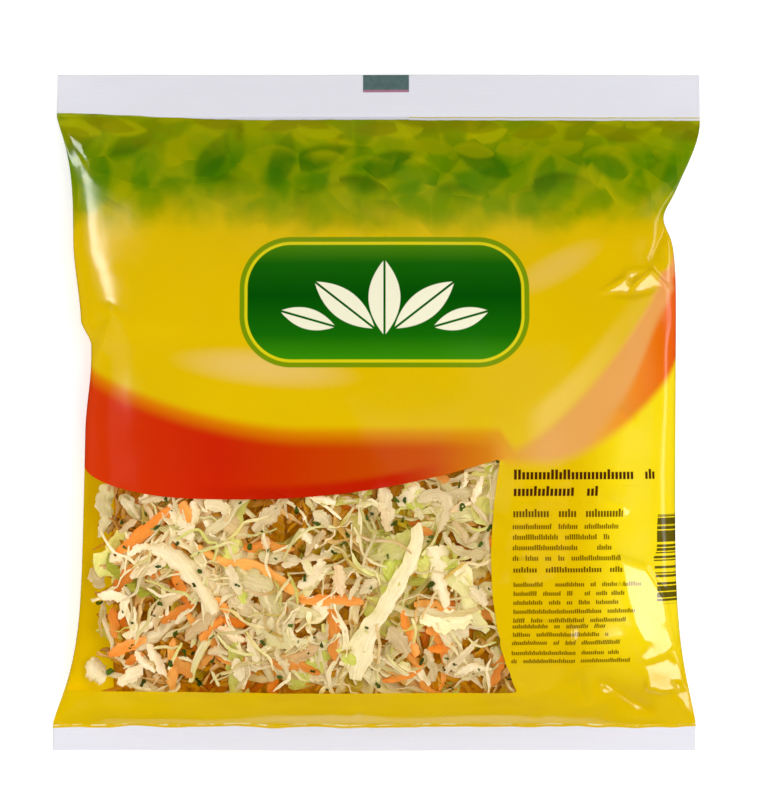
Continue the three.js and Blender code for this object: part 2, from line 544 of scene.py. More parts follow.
# shift of its cells, cell size, half length, half width, softness, two tones, v where it fades in,
# strength, and lowest angle and range of angles of its leaves
LEAF_LAYERS = [
    LeafLayer((3, 9, 0), 16, 10.5, 4.6, 2.2, [(176, 170, 0), (138, 154, 0)], (57, 68), 0.55, (0.9, 1.4)),
    LeafLayer((41, 27, 0), 14, 9.5, 4.2, 1.6, [(120, 150, 0), (84, 132, 0)], (62, 72), 0.6, (0.6, 2.0)),
    LeafLayer((17, 63, 0), 13, 9.0, 3.4, 1.4, [(150, 158, 0), (112, 140, 0)], (65, 76), 0.6, (0.2, 2.6)),
    LeafLayer((71, 5, 0), 15, 9.0, 3.8, 1.4, [(80, 128, 0), (54, 114, 2)], (70, 79), 0.65, (0.3, 2.4)),
    LeafLayer((29, 88, 0), 21, 11.0, 4.2, 1.3, [(40, 104, 4), (60, 90, 2)], (74, 82), 0.65, (-0.5, 1.9)),
    LeafLayer((90, 51, 0), 13, 8.0, 2.8, 0.9, [(180, 178, 4), (138, 146, 0)], (84, 91), 0.7, (-0.5, 1.0)),
    LeafLayer((9, 33, 0), 17, 9.0, 2.6, 0.8, [(84, 98, 0), (104, 94, 0)], (86, 93), 0.65, (-0.4, 0.8)),
]


def leaf_shapes(n, film, layer):
    """Soft leaves, one to a cell. Gives their mask and a random number for each."""
    moved = n.make("VectorMath", {0: film, 1: layer.shift}, operation="ADD")
    inputs = {"Vector": moved, "Scale": 1 / layer.cell, "Randomness": 0.85}
    middle, chance = n.make("TexVoronoi", inputs, "Position", "Color", voronoi_dimensions="2D")
    x, y, _ = n.parts(n.make("VectorMath", {0: moved, 1: middle}, operation="SUBTRACT"))
    lean, tone, _ = n.parts(chance)
    angle = lean * layer.lean[1] + layer.lean[0]
    cos, sin = n.maths("COSINE", angle), n.maths("SINE", angle)
    mask, _ = leaf_form(n, x, y, cos, sin, layer.length, layer.width, layer.soft)
    return mask, tone


# shift, length and width of the facets, their turn, and dark, middle and light tones with their places
LEAF_FACETS = [
    ((5, 77, 0), (25, 13), 0.9, [(0.2, 70, 120, 0), (0.5, 112, 140, 0), (0.8, 158, 164, 0)]),
    ((61, 13, 0), (17, 8), -0.6, [(0.2, 52, 106, 2), (0.5, 108, 136, 0), (0.8, 176, 174, 0)]),
]


def leaf_facets(n, film, shift, size, turn):
    """A random number for each of the long, slanted facets that blurred leaves leave between them."""
    inputs = {0: film, "Location": shift, "Rotation": (0, 0, turn), "Scale": (*size, 1)}
    moved = n.make("Mapping", inputs, vector_type="TEXTURE")
    cells, = n.make("TexVoronoi", {"Vector": moved, "Scale": 1, "Smoothness": 0.12}, "Color",
                    voronoi_dimensions="2D", feature="SMOOTH_F1")
    return n.parts(cells)[0]


GREEN_FROM, GREEN_FULL, GREEN_TO = 53.0, 77.0, 104.0
GREEN_DROOP = 4.0                    # the green reaches this much lower in the middle
# along v from GREEN_FROM to GREEN_TO
BACK_GREENS = [(0.0, 212, 186, 0), (0.26, 172, 166, 0), (0.5, 112, 140, 0), (0.7, 122, 144, 0),
               (1.0, 190, 180, 2)]


def paint_leaves(n, film, u, v, yellow):
    """Out-of-focus leaves along the top, fading down into the yellow."""
    middle = n.fall(abs(u - 13.0), 15.0, 75.0) * GREEN_DROOP
    level = v + middle + (n.noise(film, 16, 3.0) - 0.5) * 13.0
    back_green = n.ramp(n.rise(level, GREEN_FROM, GREEN_TO), BACK_GREENS)
    colour = n.blend(n.rise(level, GREEN_FROM, GREEN_FULL), yellow, back_green)
    for shift, size, turn, tones in LEAF_FACETS:
        facet = n.ramp(leaf_facets(n, film, shift, size, turn), tones)
        colour = n.blend(n.rise(level, 60.0, 80.0) * 0.5, colour, facet)
    for layer in LEAF_LAYERS:
        mask, chance = leaf_shapes(n, film, layer)
        share = mask * n.rise(level, *layer.fade) * layer.strength
        colour = n.blend(share, colour, n.blend(chance, *(ink(*tone) for tone in layer.tones)))
    colour = n.blend(n.rise(v, 84.0, 95.0, 0.0, 0.36), colour, ink(184, 182, 0))
    brown = n.rise(n.noise(film, 9, 2.0), 0.58, 0.74) * n.rise(v, 84.0, 96.0) * 0.6
    return n.blend(brown, colour, ink(108, 104, 0))


CURVE_END = 112.0                    # the curve keeps its form beyond this u at both sides
ARM_FROM = 38.0                      # u where the curve's upper line turns up into the right arm
# both ramps run along u from -110 to 110; their pale peach stops on the right arm are painted sheen of
# reflection over the orange print
CURVE_BODY = [
    (0.0, 222, 62, 8), (0.1, 214, 52, 6), (0.26, 203, 35, 5), (0.36, 200, 50, 0), (0.48, 197, 68, 0),
    (0.58, 200, 80, 0), (0.66, 212, 124, 0), (0.69, 230, 158, 40), (0.76, 236, 174, 84), (0.83, 238, 166, 60),
    (0.89, 238, 130, 10), (0.94, 236, 104, 6), (0.98, 236, 80, 24), (1.0, 228, 60, 30),
]
CURVE_EDGE = [
    (0.0, 228, 130, 6), (0.3, 220, 132, 0), (0.6, 218, 148, 0), (0.68, 222, 156, 0), (0.74, 230, 168, 88),
    (0.92, 236, 162, 82), (1.0, 240, 146, 90),
]
# Pale soft fields beside the badge: middle, turn in radians, half sizes, strength.
SHEENS = [((-38.0, 14.6), -0.1, (34.0, 7.0), 0.65), ((57.5, 47.5), 0.5, (20.0, 6.0), 0.36)]


def paint_curve(n, film, u, v, colour):
    """The wide red and orange curve over the window, which rises again at the right as a peach band: orange
    print under a painted sheen of reflection.
    """
    near = n.highest(n.maths("MINIMUM", u, CURVE_END), -CURVE_END)
    right_side = n.rise(near, 39.5, 41.0)
    right_line = positive(near - 54.0) ** 1.7 * 0.0455 - 16.0
    low = mix(window_top(near) - 0.6, right_line, right_side)
    arm = n.rise(near, ARM_FROM, ARM_FROM + 7.0)
    left_up = positive(-25.0 - near) ** 1.75 * 0.0105
    right_up = positive(near - ARM_FROM) ** 1.55 * 0.11
    depth = mix(left_up - 4.8, right_up - 14.0, arm) - v
    over_low = n.rise((v - low) / (right_side * 2.6 + 0.12), -1.0, 1.0)
    under_high = n.rise(depth, -1.5 - arm * 1.5, 2.5)
    linear = (near + 110.0) * (1 / 220)
    # how far the edge ramp's peach, a painted sheen, reaches into the curve
    peach_sheen = n.rise(near, 42.0, 60.0) * 14.0 - n.rise(near, 80.0, 94.0) * 7.0
    inside = n.blend(n.rise(depth - peach_sheen, 0.5, 7.5), n.ramp(linear, CURVE_EDGE), n.ramp(linear, CURVE_BODY))
    rim = (n.fall(v - low, 3.0, 6.0) * n.rise(near, -66.0, -40.0) * n.fall(near, 2.0, 26.0)
           * (1.0 - right_side))
    inside = n.blend(rim, inside, ink(192, 30, 2))
    # painted light: the yellow at the lower right made brighter, standing in for the lamp light that the
    # folds there catch
    painted_light = n.rise(near, 62.0, 82.0) * n.rise(v, -96.0, -64.0) * n.rise(depth, -2.0, 4.0)
    colour = n.blend(painted_light * 0.85, colour, ink(255, 228, 20))
    # painted sheen: a pale band just above the right arm, standing in for a lamp's reflection on the film
    painted_sheen = n.rise(near, 45.0, 55.0) * n.fall(near, 58.0, 92.0) * n.fall(abs(depth + 5.0), 2.0, 9.0)
    colour = n.blend(painted_sheen * 0.55, colour, ink(244, 206, 100))
    for centre, turn, (length, width), share in SHEENS:
        along, aside = turned(u - centre[0], v - centre[1], math.cos(turn), math.sin(turn))
        along, aside = along * (1 / length), aside * (1 / width)
        field = n.rise(along * along + aside * aside, -0.2, 1.0, share, 0.0)
        colour = n.blend(field, colour, ink(236, 196, 122))
    return n.blend(over_low * under_high, colour, inside)


BADGE_CENTRE = (1.2, 36.2)
BADGE_HALF = (47.4, 21.4)
BADGE_CORNER = 17.0
BADGE_GREENS = [(0.0, 64, 150, 8), (0.25, 20, 104, 4), (0.55, 4, 78, 4), (0.8, 20, 96, 6), (1.0, 86, 140, 10)]
# middle, turn in degrees, half length and half width of each leaf of the sprig, from the badge's middle
SPRIG = [((0, 1.5), 90, 12.5, 5.2), ((-13, -1), 142, 12.5, 4.6), ((13, -1), 38, 12.5, 4.6),
         ((-25, -5.5), 164, 9.5, 3.4), ((25, -5.5), 16, 9.5, 3.4)]


def paint_badge(n, film, u, v, colour):
    """A plain green panel with round corners, a pale line inside its edge and a sprig of leaves."""
    x, y = u - BADGE_CENTRE[0], v - BADGE_CENTRE[1]
    dx, dy = (positive(abs(a) - (half - BADGE_CORNER)) for a, half in zip((x, y), BADGE_HALF))
    outside = n.maths("SQRT", dx * dx + dy * dy)
    green = n.ramp((y + BADGE_HALF[1]) * (0.5 / BADGE_HALF[1]), BADGE_GREENS)
    for inset, paint in ((0.0, ink(120, 148, 6)), (1.6, ink(222, 206, 20)), (2.6, green)):
        colour = n.blend(n.rise(BADGE_CORNER - inset - outside, -0.18, 0.18), colour, paint)
    for centre, turn, length, width in SPRIG:
        cos, sin = math.cos(math.radians(turn)), math.sin(math.radians(turn))
        leaf, midrib = leaf_form(n, x - centre[0], y - centre[1], cos, sin, length, width, 0.15)
        colour = n.blend(leaf * n.rise(midrib, 0.25, 0.5), colour, ink(246, 242, 212))
    return colour


TEXT_LEFT = 43.4
RAGGED = 12.0                        # how much shorter a line of a longer block may be
# top v, number of lines, line pitch, height, right end u, stroke pitch, strength
TEXT_BLOCKS = [
    (-18.4, 1, 5.4, 3.3, 92.0, 1.35, 1.0),
    (-23.8, 1, 5.4, 3.3, 71.5, 1.35, 1.0),
    (-31.3, 1, 5.0, 2.7, 80.0, 1.0, 0.9),
    (-36.1, 4, 3.45, 1.8, 85.0, 0.72, 0.85),
    (-50.2, 1, 3.4, 1.9, 80.5, 0.9, 0.9),
    (-55.2, 5, 2.95, 1.55, 88.0, 0.66, 0.85),
    (-69.0, 3, 2.75, 1.5, 84.0, 0.66, 0.85),
    (-77.9, 2, 2.75, 1.5, 90.0, 0.66, 0.85),
]


def paint_small_print(n, film, u, v, colour):
    """Rows of upright ticks of chance heights where the small print stands. They hold no letters."""
    total = 0.0
    for top, count, pitch, height, right, stroke_pitch, strength in TEXT_BLOCKS:
        down = top - v
        line = n.floor(down * (1 / pitch))
        within = down - line * pitch
        in_block = n.rise(down, -0.1, 0.0) * n.fall(down, count * pitch, count * pitch + 0.1)
        right_end = right - n.draw(line, top, 1.0) * (0.0 if count == 1 else RAGGED)
        in_width = n.rise(u, TEXT_LEFT, TEXT_LEFT + 0.1) * n.rise(right_end - u, 0.0, 0.1)
        step = (u - TEXT_LEFT) * (1 / stroke_pitch)
        slot = n.floor(step)
        low_top = n.rise(n.draw(slot, line, top), 0.3, 0.32) * (0.26 * height)
        in_line = n.rise(within - low_top, -0.1, 0.12) * n.rise(height - within, -0.1, 0.12)
        stroke = n.fall(abs(step - slot - 0.42), 0.26, 0.44)
        in_word = n.rise(n.draw(n.floor(slot * 0.34), line, top), 0.13, 0.15)
        inked = n.highest(in_word, n.fall(step, 3.0, 3.1))
        total = n.highest(in_line * in_block * in_width * stroke * inked * strength, total)
    return n.blend(total, colour, ink(74, 34, 4))


BARS_U = (93.0, 121.0)
BARS_V = (-63.0, -33.4)


def paint_bars(n, film, u, v, colour):
    """A turned block of plain bars of chance widths at the right side."""
    narrow = n.rise(n.draw(n.floor(v * 2.4), 5.0), 0.5, 0.52)
    wide = n.rise(n.draw(n.floor(v * 1.1), 9.0), 0.72, 0.74)
    mask = n.highest(narrow, wide) * n.between(u, *BARS_U) * n.between(v, *BARS_V)
    return n.blend(mask * 0.9, colour, ink(48, 40, 6))


MARK_U = (-4.5, 10.9)
MARK_FROM = 107.1                    # v of the register mark's lower side


def paint_top_white(n, film, u, v, colour):
    """The white upper end with a thin gold line on its right part, and the dark register mark."""
    waver = (n.noise(n.point(u, 0.0), 7, 2.0) - 0.5) * 0.6
    step = n.rise(u, 9.3, 9.6) * n.fall(u, 112.0, 112.5)
    line = n.rise(u, -112.0, -40.0, 2.0, -0.25) + TOP_WHITE + waver
    above = v - (line - step * 0.25)
    colour = n.blend(n.rise(above, -0.12, 0.12), colour, WHITE)
    colour = n.blend(n.between(above, 0.75, 1.15) * step, colour, ink(214, 200, 110))
    mark = n.between(u, *MARK_U) * n.between(v, MARK_FROM, 130.0)
    colour = n.blend(mark, colour, n.blend(n.noise(film, 1.6, 3.0), ink(66, 88, 84), ink(98, 124, 122)))
    pink = n.between(u, -4.4, 10.8) * n.between(v, MARK_FROM, MARK_FROM + 0.8)
    return n.blend(pink * 0.8, colour, ink(186, 116, 146))


def paint_bottom_white(n, film, u, v, colour):
    """The white lower end with a wavy border and a broken thin gold line."""
    waver = (n.noise(n.point(u, 40.0), 19, 2.0) - 0.5) * 3.2
    below = waver + BOTTOM_WHITE - v
    colour = n.blend(n.rise(below, -0.12, 0.12), colour, WHITE)
    gold = n.between(below, -1.05, -0.7, 0.1) * n.rise(n.noise(film, 5, 2.0), 0.44, 0.56)
    return n.blend(gold * 0.8, colour, ink(250, 240, 190))


def film_relief():
    """Fine slack of thin film: shallow crinkles a few millimetres apart, and their gloss."""
    outputs = {"Height": "Float", "Roughness": "Float"}
    n, (film,), result = new_group("film_relief", {"Film": "Vector"}, outputs)
    broad = n.noise(film, 14, 3.0, 0.55)
    n.fill(result, {"Height": broad, "Roughness": n.rise(broad, 0.3, 0.7, 0.09, 0.18)})
    return n.tree


LEAVES = effect("leaf_band", paint_leaves)
CURVE = effect("red_curve", paint_curve)
BADGE = effect("green_badge", paint_badge)
SMALL_PRINT = effect("small_print", paint_small_print)
BARS = effect("turned_bars", paint_bars)
TOP_END = effect("white_upper_end", paint_top_white)
BOTTOM_END = effect("white_lower_end", paint_bottom_white)
RELIEF = film_relief()

FILM_IOR = 1.45
PAINTED_INNER_GLOW = 0.55                    # painted glow: the film's inside emits its own colour, standing in for light that comes through the thin print
PRINT_DENSITY = 0.85                 # share of the light that every ink gives back in the studio


def printed_film_material(name, effects, roughness=None, relief=0.35):
    """Glossy film, yellow where none of the effects paints, with a painted glow on its inside."""
    material, n, shader = new_material(name)
    film = n.film_place()
    colour = n.blend(n.noise(film, 45, 1.0), *YELLOWS)
    for tree in effects:
        colour, = n.group(tree, ["Colour"], Film=film, Under=colour)
    colour = n.tint(colour, (PRINT_DENSITY, PRINT_DENSITY, PRINT_DENSITY, 1))
    height, gloss = n.group(RELIEF, ["Height", "Roughness"], Film=film)
    inner, = n.make("NewGeometry", {}, "Backfacing")
    # the inside of the film glows with its own colour: painted light for the light coming through the print
    n.fill(shader, {
        "Base Color": colour, "Roughness": roughness or gloss, "IOR": FILM_IOR,
        "Emission Color": n.blend(inner, (0, 0, 0, 1), n.tint(colour, (0.84, 1.08, 1.0, 1))),
        "Emission Strength": PAINTED_INNER_GLOW, "Normal": n.bump(height, 0.4, relief)})
    return material


# ---------------------------------------------------------------- the contents
CELL = 0.5                           # step of the heap's height map
HEAP_LOW = (-104.0, -108.0)
HEAP_HIGH = (64.0, -8.0)
HEAP_FLOOR = 3.0
CORE_DEPTH = 8.5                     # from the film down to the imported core
CORE_LEFT = -88.0                    # the contents leave a gap at the left side
CORE_RIGHT = 96.0
CORE_ROUNDING = 14.0                 # how far in from its sides the core is rounded, and how far down
CONTENTS_LOW = (-94.0, -94.0)        # no piece reaches past these corners
CONTENTS_HIGH = (60.0, -10.0)
SHOWN_LEVEL = 44.0                   # height at which the photo's pieces lie
FILLERS = 700                        # chance pieces dropped on the core
FILLER_ROOM = (5.0, 1.4)             # space that the first and the last of them keep below the film
LOOSE_THREADS = 40
LOOSE_HERBS = 70
CARROT_SHARE = 0.07
LEAF_SHARE = 0.12
SHRED_WIDTHS = (1.0, 1.5, 2.1, 2.9, 4.0, 6.0)
STATIONS = 25                        # places along a strip at which its form is worked out
draw = np.random.default_rng(7)


def film_cover(x, y):
    """Height of the film over the contents before they press on it."""
    return smooth_face(x, y) + face_relief(x, y) * ease(fullness(y) / SEAL_FULL)


def core_lumps(x, y):
    return 1.3 * ripples(x, y, 13, 31) + 0.7 * ripples(x, y, 6, 32)


def core_top(x, y):
    side = np.minimum(x - CORE_LEFT, CORE_RIGHT - x)
    rounding = CORE_ROUNDING * (1 - ease(side / CORE_ROUNDING))
    return film_cover(x, y) - CORE_DEPTH - rounding + core_lumps(x, y)


class Heap:
    """Remembers how high the contents have grown at each place."""

    def __init__(self):
        self.x, self.y = np.meshgrid(np.arange(HEAP_LOW[0], HEAP_HIGH[0], CELL),
                                     np.arange(HEAP_LOW[1], HEAP_HIGH[1], CELL))
        self.cover = film_cover(self.x, self.y)
        self.top = np.where(self.x > CORE_LEFT, core_top(self.x, self.y), HEAP_FLOOR)
        self.top = np.maximum(self.top, HEAP_FLOOR)

    def cells(self, x, y):
        column = np.clip(((x - HEAP_LOW[0]) / CELL).astype(int), 0, self.x.shape[1] - 1)
        row = np.clip(((y - HEAP_LOW[1]) / CELL).astype(int), 0, self.x.shape[0] - 1)
        return row, column

    def top_at(self, x, y):
        return self.top[self.cells(x, y)]

    def cover_at(self, x, y):
        return self.cover[self.cells(x, y)]

    def raise_to(self, points):
        np.maximum.at(self.top, self.cells(points[:, 0], points[:, 1]), points[:, 2])


def even_out(row, times):
    """Smooths a row of values between its ends, in place."""
    for _ in range(times):
        row[1:-1] = (row[:-2] + 2 * row[1:-1] + row[2:]) / 4


def strip_mould(along, across):
    """A flat strip with a face above and one below: points as (along, across, side), and faces."""
    bm = bmesh.new()
    bmesh.ops.create_grid(bm, x_segments=along, y_segments=across, size=1)
    bmesh.ops.solidify(bm, geom=bm.faces[:], thickness=0.1)
    bmesh.ops.recalc_face_normals(bm, faces=bm.faces[:])
    points = np.array([v.co[:] for v in bm.verts])
    points[:, 2] = np.where(points[:, 2] > -0.05, 1, -1)
    faces = sorted([v.index for v in f.verts] for f in bm.faces)
    bm.free()
    return points, faces


class Strip:
    """One cut piece of leaf or root: a centre line with widths, which rolls, twists, cups and ruffles."""

    def __init__(self, path, widths, thickness,
                 roll=0.0, twist=0.0, cup=0.0, ruffle=0.0, taper=0.0, heave=0.0):
        path = np.clip(np.asarray(path, float), CONTENTS_LOW, CONTENTS_HIGH)
        steps = np.concatenate([[0], np.cumsum(np.hypot(*np.diff(path, axis=0).T))])
        self.length = steps[-1]
        self.s = np.linspace(0, 1, STATIONS)
        knots = steps / steps[-1]
        centre = np.stack([np.interp(self.s, knots, path[:, k]) for k in (0, 1)], 1)
        half = np.interp(self.s, knots, widths) / 2
        even_out(centre, 5)
        even_out(half, 5)
        ends = 1 - taper * np.abs(2 * self.s - 1) ** 5
        self.centre, self.half = centre, half * ends
        run = np.gradient(centre, axis=0)
        run /= np.linalg.norm(run, axis=1)[:, None] + 1e-9
        self.aside = np.stack([-run[:, 1], run[:, 0]], 1)
        self.phase = draw.uniform(0, math.tau, 4)
        self.roll = roll + twist * (self.s - 0.5) + 0.3 * twist * np.sin(5 * self.s + self.phase[0])
        self.thickness, self.cup, self.ruffle, self.heave = thickness, cup, ruffle, heave
        self.waves = self.length / draw.uniform(5.0, 8.0)
        self.slant = draw.uniform(-1.0, 1.0, 2) * self.half.mean() / self.length
        self.z = np.zeros(STATIONS)

    def rest_on(self, heap, room, sink=0.3, slope=0.3):
        """Lets the strip down on the heap and keeps it this far below the film."""
        lift = np.sin(self.roll) * self.half
        support = np.full(STATIONS, -99.0)
        cover = np.full(STATIONS, 99.0)
        for k in (-0.85, 0, 0.85):
            place = self.centre + self.aside * (self.half * np.cos(self.roll) * k)[:, None]
            support = np.maximum(support, heap.top_at(place[:, 0], place[:, 1]) - k * lift)
            cover = np.minimum(cover, heap.cover_at(place[:, 0], place[:, 1]) - k * lift)
        support += self.thickness / 2 - sink
        apart = np.abs(self.s[:, None] - self.s[None, :]) * self.length
        z = (support[None, :] - slope * apart).max(1)
        even_out(z, 3)
        z += self.heave * (1 + np.sin(self.length * self.s / 2.2 + self.phase[3])) / 2
        self.z = np.minimum(z, cover - room - self.thickness / 2 - 0.5 * np.abs(self.cup * self.half))

    def surface(self, along, across, side):
        s = (along + 1) / 2
        s = np.clip(s + across * np.where(along > 0, *self.slant) * np.abs(along), 0, 1)
        half, roll, z = (np.interp(s, self.s, row) for row in (self.half, self.roll, self.z))
        cx, cy, ax, ay = (np.interp(s, self.s, row) for row in (*self.centre.T, *self.aside.T))
        turn = s * math.pi
        edge = (across > 0) * self.phase[1]
        uneven = 1.0
        for height, bends, phase in ((0.13, 5.1, 0), (0.1, 13, 2), (0.06, 23, 3)):
            uneven = uneven + height * np.sin(bends * turn + self.phase[phase] + edge)
        reach = across * half * uneven
        wave = np.sin(math.tau * self.waves * s + self.phase[0] + edge)
        bulge = self.cup * half * (np.abs(across) ** 2.4 - 0.35)
        bulge += self.ruffle * np.abs(across) ** 1.4 * wave
        thin = 1 - 0.45 * across ** 2
        bulge += side * self.thickness / 2 * thin
        cos, sin = np.cos(roll), np.sin(roll)
        flat = reach * cos - bulge * sin
        return np.stack([cx + ax * flat, cy + ay * flat, z + reach * sin + bulge * cos], 1)


STAMP_ALONG, STAMP_ACROSS = (a.ravel() for a in np.meshgrid(np.linspace(-1, 1, 60), np.linspace(-1, 1, 15)))


class Pile:
    """Collects the pieces of one kind into one mesh."""

    def __init__(self, name, along, across):
        self.name = name
        self.mould, self.faces = strip_mould(along, across)
        self.points, self.all_faces, self.uv, self.tones = [], [], [], []

    def add(self, strip, heap, tone):
        along, across, side = self.mould.T
        points = strip.surface(along, across, side)
        start = sum(len(p) for p in self.points)
        self.points.append(points)
        self.all_faces += [[start + i for i in face] for face in self.faces]
        half = np.interp((along + 1) / 2, strip.s, strip.half)
        origin = draw.uniform(0, 500, 2)
        self.uv.append(np.stack([origin[0] + (along + 1) / 2 * strip.length, origin[1] + across * half], 1))
        change = 0.16 * along * math.cos(strip.phase[0]) + 0.12 * across * math.sin(strip.phase[1])
        self.tones.append(np.clip(tone + change[:, None] * np.array([1.0, 0.6, 0.0]), 0, 1))
        heap.raise_to(strip.surface(STAMP_ALONG, STAMP_ACROSS, np.ones(len(STAMP_ALONG))))

    def build(self, material, slot, sharp=55):
        piece = mesh_object(self.name, np.concatenate(self.points), self.all_faces,
                            np.concatenate(self.uv), material)
        tones = np.concatenate(self.tones)
        layer = piece.data.color_attributes.new("tone", "FLOAT_COLOR", "POINT")
        layer.data.foreach_set("color", np.column_stack([tones, np.ones(len(tones))]).ravel())
        piece.data.set_sharp_from_angle(angle=math.radians(sharp))
        return place(piece, slot)


def random_path(x, y, length, bend):
    angle = draw.uniform(0, math.tau)
    s = np.linspace(-0.5, 0.5, 5)
    along = s * length
    aside = bend * length * (0.25 - s ** 2) + 0.06 * length * np.sin(9 * s + draw.uniform(0, 6))
    return np.stack([x + along * math.cos(angle) - aside * math.sin(angle),
                     y + along * math.sin(angle) + aside * math.cos(angle)], 1)


def random_tone(green, depth_shade=0.3, spread=0.12):
    """Greenness, painted depth shade and lightness of one piece."""
    return np.clip([draw.normal(green, spread), draw.normal(depth_shade, 0.15), draw.uniform(0, 1)], 0, 1)


